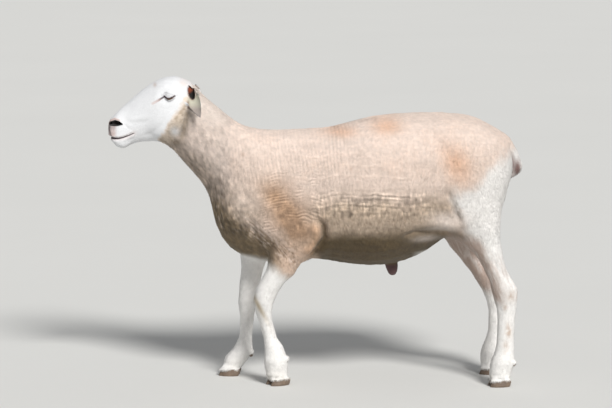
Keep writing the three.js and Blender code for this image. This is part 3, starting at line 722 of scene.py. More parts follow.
def markings(p, normals):
    """The coat's colour at each place."""
    x, y, z = p.T
    zone = zones(p)
    soft = layers(p, 60, 41)
    fine = layers(p, 6, 47) * (1 - 0.6 * zone["face"])
    upright = strands(p, 4, 26, 0.1, 51)
    colour = np.tile(SIDE_FLEECE, (len(p), 1))
    colour = lay(colour, CREAM, ramp(z + 24 * soft, 580, 660))
    peach = np.maximum(bump(x, 65, 42) * bump(z, 672, 15), bump(x, 185, 40) * bump(z, 690, 20))
    peach = np.maximum(peach, bump(x + 0.25 * (z - 600), 366, 36) * bump(z, 596, 62))
    colour = lay(colour, PEACH, np.clip(0.85 * peach + 0.18 * soft + 0.1 * upright * ramp(z, 520, 600), 0, 1))
    low = ramp(z + 18 * soft, 545, 470) * ramp(x, -70, 40) * ramp(x, 400, 340)
    colour = lay(colour, FLANK_GREY, 0.9 * low)
    colour = lay(colour, FLECK, 0.34 * low * ramp(strands(p, 3.2, 9, 0.15, 52), 0.02, 0.6))
    shoulder, _ = path_distance(p[:, [0, 2]], SHOULDER)
    shoulder = np.exp(-((shoulder / 50) ** 2)) * ramp(z + 12 * soft, 600, 500)
    colour = lay(colour, SHOULDER_TAN, np.clip(1.05 * shoulder + 0.3 * soft * shoulder, 0, 1))
    colour = lay(colour, FOREARM_TAN, 0.8 * ramp(z + 14 * soft, 420, 370) * ramp(x, -170, -120) * ramp(x, 50, 20))
    elbow = groove(p[:, [0, 2]], ELBOW, 13, 0.2) * ramp(np.abs(y), 45, 75)
    colour = lay(colour, ELBOW_TAN, 0.75 * elbow)
    under = np.interp(x, BELLY_EDGE_X, BELLY_EDGE_Z)
    # Painted shade under the belly, from where the body turns downwards.
    colour = lay(colour, BELLY_SHADE, ramp(z - under + 12 * soft, 22, -26) * ramp(x, -20, 20))
    # Painted shade in the crease behind the elbow.
    colour = lay(colour, BELLY_SHADE, 0.8 * groove(p[:, [0, 2]], ELBOW_BACK, 7, 0.3) * ramp(np.abs(y), 45, 75))
    breast = ramp(0.7 * x + z + 26 * soft, 370, 286) * ramp(x, -70, -130) * ramp(z, 560, 480)
    # Painted shade on the breast, low at the front of the chest.
    colour = lay(colour, BRISKET_SHADE, breast)
    colour = lay(colour, NECK_FLEECE, 0.9 * zone["neck"])
    nape = ramp(z + 10 * soft, 668, 720) * ramp(x, -200, -250)
    colour = lay(colour, NAPE, 0.85 * nape)
    front = ramp(0.62 * x + 0.78 * z + 16 * soft, 312, 228) * ramp(x, -110, -150)
    # Painted shade down the front of the neck, which faces away from the light.
    colour = lay(colour, BRISKET_SHADE, 0.55 * front * ramp(z, 430, 470))
    woolly = np.maximum(zone["neck"], 0.75 * ramp(x, -120, -190) * ramp(z, 380, 440))
    flecked = (0.14 + 0.8 * front) * woolly * (1 - 0.7 * nape) * ramp(strands(p, 4, 15, 0.5, 53), 0.1, 0.5)
    colour = lay(colour, FLECK, 0.62 * flecked)
    pale = woolly * (0.3 + 0.7 * front) * ramp(strands(p, 3.5, 14, 0.5, 54), 0.25, 0.6)
    colour = lay(colour, CREAM, 0.6 * pale)
    point = bump(x, -186, 38) * bump(z, 492, 46) * ramp(np.abs(y), 60, 90)
    colour = lay(colour, POINT_PALE, 0.85 * np.clip(point * (1 + 0.5 * soft), 0, 1))
    coarse = bump(0.8 * x + z, 296, 34) * ramp(x, -200, -170) * ramp(x, -30, -60) * ramp(z, 520, 460)
    slant = strands(p, 3.2, 16, 0.9, 55)
    colour = lay(colour, FLECK, 0.75 * coarse * ramp(slant, 0.05, 0.45))
    colour = lay(colour, CREAM, 0.75 * coarse * ramp(slant, -0.1, -0.5))
    rows, comb, wrinkle = shear_marks(p)
    combed = 0.045 * upright * ramp(z, 420, 480)
    low_rows = ramp(z, 540, 500)
    # Painted light and shade on the relief: the ridges of the shears' rows, the combing and the wrinkles are
    # painted lighter and their hollows darker.
    colour = colour * (1 + (0.19 + 0.13 * low_rows) * rows + 0.07 * comb + 0.16 * wrinkle + combed)[:, None]
    # Painted shade in the groove behind the jaw.
    colour = lay(colour, THROAT_SHADE, 0.85 * groove(p[:, [0, 2]], JAW_BEHIND, 13, 0.2) * ramp(np.abs(y), 5, 16))
    mottled = 0.42 * shoulder + 0.3 * woolly * (1 - nape) + 0.5 * breast + 0.4 * front * woolly
    mottle = noise(p, np.array([6.5, 6.5, 9]), 66) + 0.7 * noise(p, np.array([13, 13, 17]), 67)
    ticks = noise(p, np.array([4.5, 4.5, 13]), 68) + 0.9 * noise(p, np.array([26, 26, 5]), 69)
    band = ramp(z, 528, 512) * ramp(z, 452, 470) * ramp(x, -30, 10) * ramp(x, 330, 260)
    even = 0.075 * ramp(z, 480, 560) * (1 - woolly) + 0.2 * low + 0.32 * band
    colour = colour * np.exp(0.62 * np.clip(mottled, 0, 1.1) * mottle + even * ticks)[:, None]
    colour = lay(colour, HAUNCH_WHITE, 0.92 * zone["haunch"])
    colour = lay(colour, FOLD_PALE, 0.7 * bump(x, 288, 34) * bump(z, 396, 9))
    colour = lay(colour, FOLD_PALE, 0.9 * bump(x, 345, 44) * ramp(z, 408, 428) * ramp(z + 10 * soft, 486, 452))
    # Painted shade in the crease between flank and stifle, as dark streaks.
    crease = bump(x + 0.3 * (z - 480), 368, 12) * bump(z, 475, 48)
    colour = lay(colour, FLECK, 0.45 * crease * ramp(strands(p, 3, 9, 0.6, 56), -0.2, 0.4))
    colour = lay(colour, LEG_WHITE, zone["leg"])
    colour = leg_markings(colour, p, soft)
    colour = lay(colour, FACE_WHITE, zone["face"])
    cheek = cheek_wool(p, zone)
    colour = lay(colour, CHEEK_WOOL, cheek)
    colour = lay(colour, WOOL_DIRT, 0.6 * cheek * ramp(layers(p, 6, 57), -0.1, 0.4))
    colour = lay(colour, FACE_WHITE, 0.85 * bump(x, -371, 12) * bump(z, 673, 13) * ramp(np.abs(y), 14, 24))
    # Painted shade in the corner of the throat under the jaw.
    colour = lay(colour, THROAT_SHADE, 0.7 * bump(x, -366, 15) * bump(z, 643, 10))
    poll = bump(x, -342, 14) * bump(z, 797, 16) * ramp(soft, -0.5, 0.2)
    colour = lay(colour, PEACH, 0.4 * poll)
    for spot_x, spot_z, size in ((92, 585, 4), (-190, 617, 5), (-422, 792, 5)):
        near = np.exp(-(((x - spot_x) / size) ** 2) - ((z - spot_z) / size) ** 2)
        colour = lay(colour, PEACH * 0.6, 0.5 * near)
    colour = head_markings(colour, p)
    colour = ear_markings(colour, p, normals)
    behind = np.stack([np.abs(y), z], axis=1)
    tail_side, _ = path_distance(behind, TAIL_SIDE)
    colour = lay(colour, TAIL_SKIN, 0.85 * ramp(x, 503, 512) * ramp(tail_side, 9, 3) * ramp(z, 625, 590))
    patch = bump(x, 533, 8) * bump(z, 568, 22) * ramp(y, 0, -12)
    colour = lay(colour, TAIL_SKIN, 0.85 * np.clip(1.4 * patch * (1 + 0.4 * fine), 0, 1))
    colour = lay(colour, SHEATH_SKIN, zone["sheath"])
    return np.clip(colour * (1 + 0.08 * fine + 0.03 * soft)[:, None], 0, 1)


def cheek_wool(p, zone):
    """1 on the woolly band that runs from below the ear to the angle of the jaw."""
    x, y, z = p.T
    before = ramp(x - np.interp(z, WOOL_EDGE_HEIGHT, WOOL_EDGE) + 4 * layers(p, 12, 33), 7, -5)
    return (1 - zone["face"]) * before * ramp(z, 630, 645) * ramp(z, 775, 760)


# Stains on the near legs: the place by (x, z), half width, half height and share.
LEG_STAINS = [
    (516, 242, 11, 13, 0.75),
    (498, 214, 7, 9, 0.5),
    (508, 150, 8, 24, 0.55),
    (500, 108, 7, 16, 0.4),
    (524, 38, 5, 7, 0.5),
    (-72, 84, 6, 6, 0.7),
    (-60, 60, 8, 10, 0.3),
]


def leg_markings(colour, p, soft):
    """The brown shades of the shanks and the stains on the near legs."""
    x, y, z = p.T
    front = ramp(x - 0.42 * (400 - z), 446, 408) * ramp(z, 205, 250) * ramp(z, 420, 380) * ramp(x, 330, 360)
    streak = strands(p, 4, 22, 0.42, 58)
    colour = lay(colour, SHANK, np.clip(0.95 * front + 0.5 * streak * front, 0, 1))
    shank = ramp(x, 400, 440) * bump(z, 300, 60)
    colour = lay(colour, SHANK, np.clip(shank * (0.25 + 0.5 * streak), 0, 1))
    near = ramp(y, 0, -40)
    along = (x + 150) * 0.45 + (z - 216) * 0.9
    across = (x + 150) * 0.9 - (z - 216) * -0.45
    colour = lay(colour, STAIN, 0.75 * near * np.exp(-((along / 30) ** 2) - (across / 7) ** 2) * (x < -100))
    for spot_x, spot_z, wide, high, share in LEG_STAINS:
        spot = np.exp(-(((x - spot_x) / wide) ** 2) - ((z - spot_z) / high) ** 2)
        spot = spot * (0.35 + 0.65 * ramp(layers(p, 8, 71), -0.25, 0.25))
        colour = lay(colour, SHOULDER_TAN, np.clip(share * near * spot * (1 + 0.6 * soft), 0, 1))
    return lay(colour, STAIN, 0.18 * ramp(z, 60, 10) * ramp(soft, -0.2, 0.3))


def head_markings(colour, p):
    """Nose, mouth and lids."""
    x, y, z = p.T
    face = ramp(x, -345, -375)
    nostril, _ = nostril_share(p)
    mouth, _ = path_distance(p[:, [0, 2]], MOUTH)
    uneven = 1 + 0.4 * layers(p, 7, 44)
    snout = ramp(x, -519, -531) * ramp(z, 651, 660)
    colour = lay(colour, NOSE_PINK, 0.6 * snout * ramp(z, 703, 692) * uneven)
    colour = lay(colour, NOSE_GREY, 0.4 * snout * bump(z, 680, 7) * uneven)
    # Painted shade in the groove down the middle of the nose.
    colour = lay(colour, NOSE_GREY, 0.75 * snout * bump(y, 0, 2.2) * ramp(z, 690, 682))
    colour = lay(colour, NOSE_GREY, 0.3 * ramp(x, -538, -544) * bump(z, 674, 12) * uneven)
    # Painted shade along the cleft of the lip, from the nostril down to the mouth.
    colour = lay(colour, LID_DARK, 0.75 * groove(p[:, [0, 2]], LIP_LINE, 1.8, 0.1))
    above = face * bump(nostril, 1.4, 0.35) * ramp(z - 0.3 * (x + 520), 692, 697)
    colour = lay(colour, NOSE_PINK, 0.8 * above)
    colour = lay(colour, NOSE_PINK, 0.3 * face * bump(mouth, 0, 6))
    half = 0.8 * np.interp(x, [-545, -515, -485], [3.4, 2.0, 1.0])
    # Painted shade in the gap of the mouth between the lips.
    colour = lay(colour, LID_DARK, 0.9 * face * ramp(mouth / half, 1.5, 0.8))
    # Painted shade inside the nostrils.
    colour = lay(colour, NOSTRIL_SHADE, face * ramp(nostril, 1.12, 0.92))
    for side in SIDES.values():
        slit_along, up, out = eye_place(p, side)
        height = np.interp(slit_along, SLIT_ALONG, SLIT_HEIGHT)
        half = np.interp(slit_along, SLIT_ALONG, SLIT_HALF)
        fold = np.interp(slit_along, FOLD_ALONG, FOLD_HEIGHT)
        gap = np.abs(up - height) - half
        near = (out > 0) & (out < 28) & (np.abs(slit_along) < 22)
        ends = ramp(np.abs(slit_along), 17, 14)
        colour = lay(colour, LID_BROWN, 0.5 * near * ends * ramp(gap, 3.4, 1.2) * ramp(slit_along, 2, 10))
        colour = lay(colour, LID_DARK, 0.95 * near * ends * ramp(gap, 2.4, 1.3))
        # Painted shade in the crease of the fold over the upper lid.
        colour = lay(colour, LID_DARK, 0.2 * near * ends * bump(up, fold, 1.3))
        # Painted shade under the eye.
        colour = lay(colour, NOSE_GREY, 0.3 * near * ends * bump(gap, 4.5, 3.0) * (up < height))
        # Painted shade on the upper lid, between the fold and the slit.
        lid = near * ends * ramp(up, height, height + 2) * ramp(fold - up, -1.5, 1.5)
        colour = lay(colour, NOSE_GREY, 0.16 * lid * (1 + 0.8 * layers(p, 3, 45)))
        # Painted shade at the front of the brow.
        brow = near * np.exp(-(((slit_along + 9) / 4) ** 2) - ((up - 10) / 3) ** 2)
        colour = lay(colour, NOSE_GREY, 0.3 * brow)
        # Painted shade above the slit, where the lashes overhang.
        colour = lay(colour, LID_DARK, 0.16 * near * ramp(gap, 8, 1) * (up > height))
    tear, along = path_distance(p[:, [0, 2]], TEAR)
    outer = face * ramp(np.abs(y), 20, 30)
    colour = lay(colour, LID_DARK, 0.85 * outer * ramp(tear, 3.2, 1.4) * ramp(along, 0.85, 0.5))
    return lay(colour, NOSE_PINK, 0.5 * outer * ramp(tear, 4.5, 1.5) * ramp(along, 0.35, 0.6))


def ear_markings(colour, p, normals):
    """The ear's leaf: pale inside, with painted green light from below there, with wool over its root, a painted
    shadow of the cheek wool along its front, and greyer towards the tip with painted shade.
    """
    x, _, z = p.T
    share, _, _ = ear_place(p)
    inside = ear_inside(p, normals)
    # The leaf's pale inside, with painted green light from below on it.
    colour = lay(colour, EAR_LEAF_AND_BOUNCE_LIGHT, 0.75 * inside * ramp(share, 1.0, 0.75) * ramp(x, -342, -332))
    # Painted shade on the ear below 750 mm, towards its tip.
    colour = lay(colour, EAR_TIP_SHADE, 0.9 * near_ear(p) * ramp(z, 750, 730))
    root = ramp(x, -332, -339) * ramp(z, 720, 735) * ramp(z, 775, 762) * ramp(share, 0.7, 0.5) * inside
    colour = lay(colour, CHEEK_WOOL, root)
    # Painted shadow cast by the cheek wool, in a strip along the ear's front edge.
    wool_shadow = inside * bump(x, -334, 4) * ramp(z, 758, 748)
    return lay(colour, EAR_RED * 0.6, 0.6 * wool_shadow)


def hollows(colour, p, nostrils, ears):
    """Painted shade inside the nostrils and deep in the ears' openings, which are red-brown above."""
    colour = lay(colour, NOSTRIL_SHADE, nostrils)
    colour = lay(colour, EAR_RED, ramp(ears, 0.2, 0.6))
    # Painted shade deep in the ear's opening, on its lower part.
    lower = ramp(0.6 * (p[:, 0] - CONCH[0]) - 0.8 * (p[:, 2] - CONCH[1]), -7, 3)
    return lay(colour, EAR_CANAL_SHADE, ramp(ears, 0.3, 0.7) * lower)


# ---------------------------------------------------------------- materials


def new_material(name, **settings):
    """A material with its Principled shader's own sockets set, and its tools for adding nodes."""
    material = bpy.data.materials.new(name)
    material.use_nodes = True
    tree = material.node_tree
    shader = tree.nodes["Principled BSDF"]
    for socket, value in settings.items():
        shader.inputs[socket.replace("_", " ")].default_value = value
    return material, tree, shader


def add(tree, kind, inputs=None, **values):
    """A node with its properties set, and its inputs set to numbers or linked to other nodes' outputs."""
    node = tree.nodes.new("ShaderNode" + kind)
    for key, value in values.items():
        setattr(node, key, value)
    for key, value in (inputs or {}).items():
        if isinstance(value, bpy.types.NodeSocket):
            tree.links.new(value, node.inputs[key])
        else:
            node.inputs[key].default_value = value
    return node


def grain(tree, scale, detail=4, stretch=(1, 1, 1)):
    """Noise over the object's own coordinates, with the number of lumps in a metre."""
    place = add(tree, "TexCoord").outputs["Object"]
    place = add(tree, "Mapping", {"Vector": place, "Scale": stretch}).outputs[0]
    return add(tree, "TexNoise", {"Vector": place, "Scale": scale, "Detail": detail}).outputs["Fac"]


def shaded(tree, colour, share, low, high):
    """A colour made darker and lighter by noise, from low to high times."""
    factor = add(tree, "MapRange", {"Value": share, "From Min": 0.3, "From Max": 0.7,
                                    "To Min": low, "To Max": high}).outputs[0]
    return add(tree, "VectorMath", {0: colour, 3: factor}, operation="SCALE").outputs[0]


def raise_surface(tree, shader, height, strength, distance):
    node = add(tree, "Bump", {"Height": height, "Strength": strength, "Distance": distance})
    tree.links.new(node.outputs[0], shader.inputs["Normal"])


def hide_material():
    material, tree, shader = new_material("skin", Roughness=0.72, Sheen_Weight=0.15, Sheen_Roughness=0.6)
    shader.inputs["Specular IOR Level"].default_value = 0.25
    marks = add(tree, "Attribute", attribute_name="markings").outputs["Color"]
    coarse, fine = grain(tree, 260), grain(tree, 900, 6, (1, 1, 0.5))
    tree.links.new(shaded(tree, marks, fine, 0.88, 1.06), shader.inputs["Base Color"])
    both = add(tree, "Math", {0: coarse, 1: fine}, operation="ADD").outputs[0]
    raise_surface(tree, shader, both, 0.5, 0.0012)
    return material


def coat_material(name, roughness):
    material, tree, shader = new_material(name, Roughness=roughness, Sheen_Weight=0.2, Sheen_Roughness=0.5)
    shader.inputs["Specular IOR Level"].default_value = 0.2
    marks = add(tree, "Attribute", attribute_name="markings").outputs["Color"]
    fibre = grain(tree, 1400, 3, (1, 1, 0.4))
    tree.links.new(shaded(tree, marks, fibre, 0.93, 1.05), shader.inputs["Base Color"])
    return material


def horn_material():
    material, tree, shader = new_material("horn", Roughness=0.55)
    place = add(tree, "TexCoord").outputs["Object"]
    cloudy = grain(tree, 60, 5)
    fibre = grain(tree, 420, 4, (1, 1, 0.12))
    ramp_node = add(tree, "ValToRGB", {"Fac": cloudy})
    ramp_node.color_ramp.elements[0].color = (*tint(88, 74, 64), 1)
    ramp_node.color_ramp.elements[1].color = (*tint(140, 121, 103), 1)
    tree.links.new(shaded(tree, ramp_node.outputs[0], fibre, 0.8, 1.12), shader.inputs["Base Color"])
    rings = add(tree, "TexWave", {"Vector": place, "Scale": 75, "Distortion": 3, "Detail": 2}, bands_direction="Z")
    both = add(tree, "Math", {0: rings.outputs["Fac"], 1: fibre}, operation="ADD").outputs[0]
    raise_surface(tree, shader, both, 0.5, 0.0006)
    return material


def eye_material():
    """An iris painted a dark brown, its amber darkened by painted shade, around a long level pupil, by the
    eyeball's own coordinates.
    """
    material, tree, shader = new_material("eyeball", Roughness=0.08)
    marks = add(tree, "Attribute", attribute_name="markings").outputs["Color"]
    streak = grain(tree, 1500, 3)
    tree.links.new(shaded(tree, marks, streak, 0.8, 1.15), shader.inputs["Base Color"])
    return material


# ---------------------------------------------------------------- eyes


def make_eye(name, side, material):
    """An eyeball with a cornea that stands a little proud, an iris painted a dark brown, its amber darkened by
    painted shade from the lids, and a level pupil.
    """
    sphere = bmesh.new()
    bmesh.ops.create_icosphere(sphere, subdivisions=5, radius=1.0)
    mesh = bpy.data.meshes.new(name)
    sphere.to_mesh(mesh)
    ball, tris = arrays_of(mesh)
    bpy.data.meshes.remove(mesh)
    ball *= MM
    centre, out, back, up = eye_axes(side)
    look = unit(out - 0.18 * up)
    high = unit(up - look * (up @ look))
    wide = np.cross(high, look)
    facing, across, above = ball @ look, ball @ wide, ball @ high
    cornea = 0.6 * ramp(facing, 0.80, 0.92)
    verts = centre + ball * (EYE_RADIUS + cornea)[:, None]
    made = mesh_object(name, verts, tris, material)
    iris = ramp(facing, 0.80, 0.83)
    pupil = ramp(np.abs(across), 0.36, 0.32) * ramp(np.abs(above), 0.14, 0.11)
    colour = np.tile(tint(150, 128, 112), (len(ball), 1))
    # The iris is painted dark brown in place of its amber: painted shade under the lids.
    colour = lay(colour, tint(104, 76, 46), iris)
    colour = lay(colour, tint(46, 30, 18), iris * ramp(facing, 0.86, 0.82))
    colour = lay(colour, tint(10, 8, 8), pupil * iris)
    paint(made, colour)
    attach(made, "root")
    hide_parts(name.replace("ball_", "_"))
    return made


# ---------------------------------------------------------------- claws


CLAW_VOXEL = 1.5


def make_claw(name, material):
    """A claw with rounded edges and the rings that horn grows in, flat where it stands on the floor."""
    verts, tris = remeshed(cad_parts[name].data.copy(), CLAW_VOXEL)
    sole = verts[:, 2] < CLAW_VOXEL / 2
    verts = relax(verts, tris, np.full(len(verts), 0.5), 10)
    verts[sole, 2] = 0
    normals = normals_of(verts, tris)
    level = verts[:, 2] + 2 * noise(verts, 14, 71)
    rings = 0.35 * np.sin(2 * math.pi * level / 4.2) + 0.35 * noise(verts * [1, 1, 0.25], 3, 72)
    verts = verts + normals * (rings * ramp(verts[:, 2], 0.5, 4))[:, None]
    made = mesh_object("horn_" + name, verts, tris, material)
    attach(made, "root")
    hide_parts(name)


# ---------------------------------------------------------------- coat

ROOT_SHADE, TIP_SHADE = 0.92, 1.05
NORMAL_SHARE = 0.55  # how much of the skin's own direction a tuft's shading takes
PATCH = 0.003  # how far across a tuft's colours reach on the coat's map
SINK = 0.5
FLOOR_CLEAR = 1.5  # no tuft reaches lower


def lie_of_coat(p, normals):
    """The direction along the skin in which the coat lies at each place."""
    x, y, z = p.T
    zone = zones(p)
    lie = np.tile(np.array([0.25, 0.0, -0.95]), (len(p), 1))
    lie = lay(lie, np.array([0.7, 0.0, -0.7]), zone["neck"])
    lie = lay(lie, np.array([0.15, 0.0, -1.0]), zone["leg"] * ramp(z, 40, 60))
    lie = lay(lie, np.array([0.0, 0.0, -1.0]), ramp(z, 60, 40))
    head = ramp(x, -335, -350) * ramp(z, 600, 630)
    lie = lay(lie, np.array([0.85, 0.0, -0.35]), head)
    lie = lay(lie, np.array([0.85, 0.0, 0.45]), head * ramp(z + 0.55 * (x + 430), 728, 750))
    ear = near_ear(p)[:, None]
    lie = lie * (1 - ear) + ear * np.stack([0.22 + 0 * y, 0.76 * np.sign(y), -0.61 + 0 * y], axis=1)
    turn = np.stack([noise(p, 22, seed) for seed in (61, 62, 63)], axis=1)
    lie = lie + (0.1 + 0.14 * zone["neck"])[:, None] * turn
    return unit(lie - normals * np.sum(lie * normals, axis=1, keepdims=True))


def tuft_sizes(p):
    """Tufts for a square millimetre, and their length, width and lift, at each place."""
    zone = zones(p)
    x, y, z = p.T
    cheek = cheek_wool(p, zone)
    table = {  # how many, length, width, lift
        "fleece": (0.26, 6.2, 1.15, 14),
        "neck": (0.28, 8.0, 1.25, 20),
        "cheek": (0.42, 7.0, 1.1, 32),
        "haunch": (0.26, 6.6, 1.1, 13),
        "leg": (0.27, 6.5, 0.9, 10),
        "face": (0.42, 4.2, 0.65, 9),
        "muzzle": (0.45, 2.4, 0.5, 10),
        "ear": (0.55, 2.4, 0.55, 4),
        "coronet": (0.50, 8.0, 1.0, 4),
    }
    sizes = np.tile(np.array(table["fleece"]), (len(p), 1))
    sizes = lay(sizes, np.array(table["neck"]), zone["neck"])
    sizes = lay(sizes, np.array(table["cheek"]), cheek)
    for name in ("haunch", "leg", "face"):
        sizes = lay(sizes, np.array(table[name]), zone[name])
    sizes = lay(sizes, np.array(table["muzzle"]), ramp(x, -490, -525))
    sizes = lay(sizes, np.array(table["ear"]), near_ear(p))
    return lay(sizes, np.array(table["coronet"]), ramp(z, 50, 40)).T


def bald(p, normals):
    """1 where no hair grows: the slits of the eyes, nostrils, mouth, the ears' hollows and rims, and the sheath."""
    share, _, _ = ear_place(p)
    found = np.maximum(zones(p)["sheath"], 0.9 * ear_inside(p, normals) * ramp(share, 0.6, 0.4))
    found = np.maximum(found, near_ear(p) * ramp(np.abs(folded(normals, p) @ EAR_OPENING), 0.6, 0.4))
    found = np.maximum(found, ramp(nostril_share(p)[0], 1.5, 1.2))
    mouth, _ = path_distance(p[:, [0, 2]], MOUTH)
    found = np.maximum(found, ramp(mouth, 3.4, 2.0))
    found = np.maximum(found, 0.7 * ramp(p[:, 0], -526, -534) * ramp(p[:, 2], 698, 690))
    for side in SIDES.values():
        along, up, out = eye_place(p, side)
        gap = np.abs(up - np.interp(along, SLIT_ALONG, SLIT_HEIGHT)) - np.interp(along, SLIT_ALONG, SLIT_HALF)
        found = np.maximum(found, ramp(gap, 2.4, 1.4) * (np.abs(along) < 18) * (np.abs(out) < 28))
    return found


def scatter(rng, verts, tris, normals):
    """Roots spread over the triangles by the number of tufts wanted at each, with the skin's direction there."""
    corners = verts[tris]
    area = np.linalg.norm(np.cross(corners[:, 1] - corners[:, 0], corners[:, 2] - corners[:, 0]), axis=1) / 2
    middle = corners.mean(axis=1)
    facing = unit(normals[tris].sum(axis=1))
    bare = np.maximum(bald(middle, facing), skin_bare[tris].max(axis=1))
    wanted = np.cumsum(area * tuft_sizes(middle)[0] * (1 - bare))
    count = int(wanted[-1])
    chosen = np.searchsorted(wanted, (np.arange(count) + rng.random(count)) * wanted[-1] / count)
    chosen = tris[np.minimum(chosen, len(tris) - 1)]
    share = rng.dirichlet((1, 1, 1), count)[:, :, None]
    return (verts[chosen] * share).sum(axis=1), unit((normals[chosen] * share).sum(axis=1))


def unwrap(p, axis, centre):
    """Each point's place along an axis and around the part's own middle line, as from 0 to 1."""
    axis = unit(np.array(axis, float))
    along = p @ axis
    first = unit(np.cross(axis, [0.3, 0.1, 1.0]))
    second = np.cross(axis, first)
    off = p - centre(p)
    around = np.arctan2(off @ first, off @ second)
    both = np.stack([along, around], axis=1)
    low, high = both.min(axis=0), both.max(axis=0)
    return 0.01 + 0.98 * (both - low) / (high - low)


def tuft_shapes(rng, roots, normals):
    """Thin closed locks, each a flat-bottomed spike that lies along the coat: vertices, triangles and shades."""
    count = len(roots)
    _, length, width, lift = tuft_sizes(roots)
    along = lie_of_coat(roots, normals)
    across = np.cross(normals, along)
    yaw = rng.normal(0, 0.22, count)[:, None]
    along = along * np.cos(yaw) + across * np.sin(yaw)
    across = np.cross(normals, along)
    length = length * rng.uniform(0.7, 1.25, count)
    width = width * rng.uniform(0.75, 1.2, count)
    lift = np.radians(lift * rng.uniform(0.6, 1.35, count))
    base = roots - normals * SINK
    half = across * (width / 2)[:, None]
    tip = base + (along * np.cos(lift)[:, None] + normals * np.sin(lift)[:, None]) * length[:, None]
    tip[:, 2] = np.maximum(tip[:, 2], FLOOR_CLEAR)
    verts = np.stack([base - half, base + half, base + normals * (0.32 * width)[:, None], tip], axis=1)
    spike = np.array([(0, 2, 1), (0, 1, 3), (1, 2, 3), (2, 0, 3)])
    tris = (np.arange(count)[:, None, None] * 4 + spike).reshape(-1, 3)
    verts = verts.reshape(-1, 3)
    shading = unit(normals_of(verts, tris) * (1 - NORMAL_SHARE) + np.repeat(normals, 4, axis=0) * NORMAL_SHARE)
    return verts, tris, shading


def make_coat(name, material, chosen, axis, centre):
    """One piece of coat, over the skin's triangles that are chosen."""
    rng = np.random.default_rng([SEED, *name.encode()])
    roots, normals = scatter(rng, skin_verts, skin_tris[chosen], skin_normals)
    verts, tris, shading = tuft_shapes(rng, roots, normals)
    made = mesh_object(name, verts, tris, material)
    made.data.normals_split_custom_set_from_vertices(shading)
    colour = markings(roots, normals) * rng.uniform(0.88, 1.10, len(roots))[:, None]
    shade = np.array([ROOT_SHADE, ROOT_SHADE, ROOT_SHADE, TIP_SHADE])
    paint(made, (colour[:, None, :] * shade[:, None]).reshape(-1, 3))
    place = unwrap(roots, axis, centre)
    patch = np.array([(-0.5, -0.5), (0.5, -0.5), (0.0, -0.2), (0.0, 0.5)]) * PATCH
    corner = (place[:, None, :] + patch).reshape(-1, 2)[tris.ravel()]
    layer = made.data.uv_layers.new(name="OFBake")
    layer.data.foreach_set("uv", corner.astype(np.float32).ravel())
    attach(made, "root")
    return made


def middle_line(p, axis):
    """The middle of a limb-like part at each place along its axis, from the part's own points."""
    axis = unit(np.array(axis, float))
    along = p @ axis
    steps = np.linspace(along.min(), along.max(), 16)
    which = np.clip(np.digitize(along, steps) - 1, 0, len(steps) - 2)
    filled = np.unique(which)
    centres = np.array([(p[which == k].min(axis=0) + p[which == k].max(axis=0)) / 2 for k in filled])
    places = (steps[filled] + steps[filled + 1]) / 2
    return lambda q: np.stack([np.interp(q @ axis, places, centres[:, k]) for k in range(3)], axis=1)


def coat_parts(p):
    """Which part of the coat each place belongs to: {name: (slot, axis, chosen)}."""
    x, y, z = p.T
    ear = near_ear(p) > 0.5
    head = (x < -335) & (z > 560) & ~ear
    neck = (x < -215) & (z > 430) & ~head & ~ear
    leg = (z < 300) & (x < 0) | (z < 380) & (x > 250)
    tail = (x > 520) & (z > 500) & (np.abs(y) < 30)
    trunk = ~(ear | head | neck | leg | tail)
    parts = {}
    for word, side in SIDES.items():
        here = y * side > 0
        parts["coat_head_" + word] = ("white_hair", (-1, 0, -0.7), head & here)
        parts["coat_neck_" + word] = ("fleece", (-0.6, 0, 0.8), neck & here)
        parts["coat_ear_" + word] = ("white_hair", (0.22, 0.76 * side, -0.61), ear & here)
        parts["coat_shoulder_" + word] = ("fleece", (1, 0, 0), trunk & here & (x < -20))
        parts["coat_flank_" + word] = ("fleece", (1, 0, 0), trunk & here & (x >= -20) & (x < 260))
        parts["coat_haunch_" + word] = ("fleece", (1, 0, 0), trunk & here & (x >= 260))
        parts["coat_foreleg_" + word] = ("white_hair", (0, 0, 1), leg & here & (x < 0))
        parts["coat_hindleg_" + word] = ("white_hair", (0, 0, 1), leg & here & (x > 0))
    parts["coat_tail"] = ("fleece", (0, 0, 1), tail)
    return parts


HALVES = ("coat_head", "coat_neck", "coat_shoulder", "coat_flank", "coat_haunch")  # of a whole part


def make_coats():
    middles = skin_verts[skin_tris].mean(axis=1)
    material = {"fleece": coat_material("fleece", 0.85), "white_hair": coat_material("white_hair", 0.7)}
    for name, (slot, axis, chosen) in coat_parts(middles).items():
        if name.startswith(HALVES):
            centre = trunk_line(middles, axis)
        else:
            centre = middle_line(middles[chosen], axis)
        make_coat(name, material[slot], chosen, axis, centre)


def trunk_line(p, axis):
    """The middle line of a part that is one of two halves: in the animal's middle plane."""
    line = middle_line(p, axis)
    return lambda q: line(q) * [1, 0, 1]


# ---------------------------------------------------------------- light, floor and camera

CAMERA_DISTANCE = 9.0
CAMERA_HEIGHT_ANGLE = 8.0
PIXEL = 2.65  # millimetres of the animal for one pixel
FRAME_WIDTH, FRAME_HEIGHT = 612, 408
ANCHOR = np.array([0.0, 0.0, 0.380])
ANCHOR_PIXEL = (315.4, 238.5)


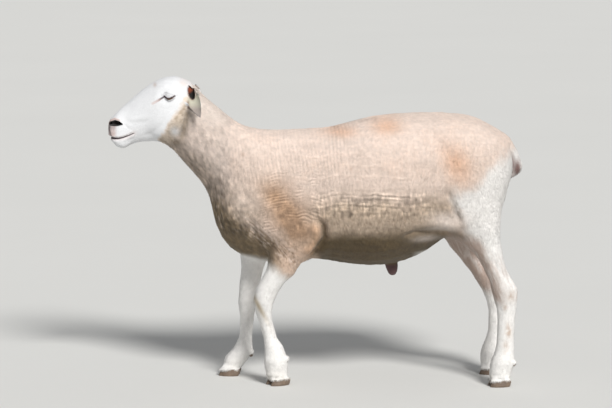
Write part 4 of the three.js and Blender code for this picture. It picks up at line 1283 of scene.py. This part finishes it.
def make_camera():
    angle = math.radians(CAMERA_HEIGHT_ANGLE)
    forward = Vector((0, math.cos(angle), -math.sin(angle)))
    right = Vector((1, 0, 0))
    up = right.cross(forward)
    shift_x = (FRAME_WIDTH / 2 - ANCHOR_PIXEL[0]) * PIXEL * MM
    shift_y = (ANCHOR_PIXEL[1] - FRAME_HEIGHT / 2) * PIXEL * MM
    aim = Vector(ANCHOR) + right * shift_x + up * shift_y
    data = bpy.data.cameras.new("camera")
    data.sensor_width = 36
    data.lens = data.sensor_width * CAMERA_DISTANCE / (FRAME_WIDTH * PIXEL * MM)
    camera = bpy.data.objects.new("camera", data)
    camera.location = aim - forward * CAMERA_DISTANCE
    camera.rotation_euler = forward.to_track_quat("-Z", "Y").to_euler()
    bpy.context.scene.collection.objects.link(camera)
    bpy.context.scene.camera = camera


SUN_FROM = (0.45, -1.0, 0.9)
FLOOR_HALF = 30000


def make_studio():
    """A soft sun from above the camera's right shoulder, an even pale sky and a plain pale floor."""
    scene = bpy.context.scene
    scene.view_settings.view_transform = "Standard"
    world = bpy.data.worlds.new("studio")
    world.use_nodes = True
    background = world.node_tree.nodes["Background"]
    background.inputs["Color"].default_value = (0.95, 0.97, 1.0, 1)
    background.inputs["Strength"].default_value = 0.32
    scene.world = world
    data = bpy.data.lights.new("sun", "SUN")
    data.energy = 3.4
    data.angle = math.radians(16)
    data.color = (1.0, 0.985, 0.965)
    sun = bpy.data.objects.new("sun", data)
    sun.rotation_euler = Vector(SUN_FROM).to_track_quat("Z", "Y").to_euler()
    scene.collection.objects.link(sun)
    material, tree, shader = new_material("floor", Roughness=0.9)
    shade = shaded(tree, add(tree, "RGB").outputs[0], grain(tree, 1.2), 0.992, 1.008)
    tree.nodes["RGB"].outputs[0].default_value = (0.70, 0.70, 0.68, 1)
    tree.links.new(shade, shader.inputs["Base Color"])
    corners = np.array([(-1, -1, 0), (1, -1, 0), (1, 1, 0), (-1, 1, 0)], float) * FLOOR_HALF
    floor = mesh_object("floor", corners, np.array([(0, 1, 2), (0, 2, 3)]), material)


# ---------------------------------------------------------------- assembly

make_camera()
make_studio()

hide = hide_material()
horn = horn_material()
skin_verts, skin_tris, nostrils, ears = skin_arrays()
skin_normals = normals_of(skin_verts, skin_tris)
skin_bare = ramp(np.maximum(nostrils, ears), 0.1, 0.4)
skin = mesh_object("skin", skin_verts, skin_tris, hide)
paint(skin, hollows(markings(skin_verts, skin_normals), skin_verts, nostrils, ears))
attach(skin, "root")
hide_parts(*[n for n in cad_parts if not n.startswith(("claw", "dewclaw", "eye"))])

ball = eye_material()
for word, side in SIDES.items():
    make_eye("eyeball_" + word, side, ball)

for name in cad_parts:
    if name.startswith(("claw", "dewclaw")):
        make_claw(name, horn)

make_coats()
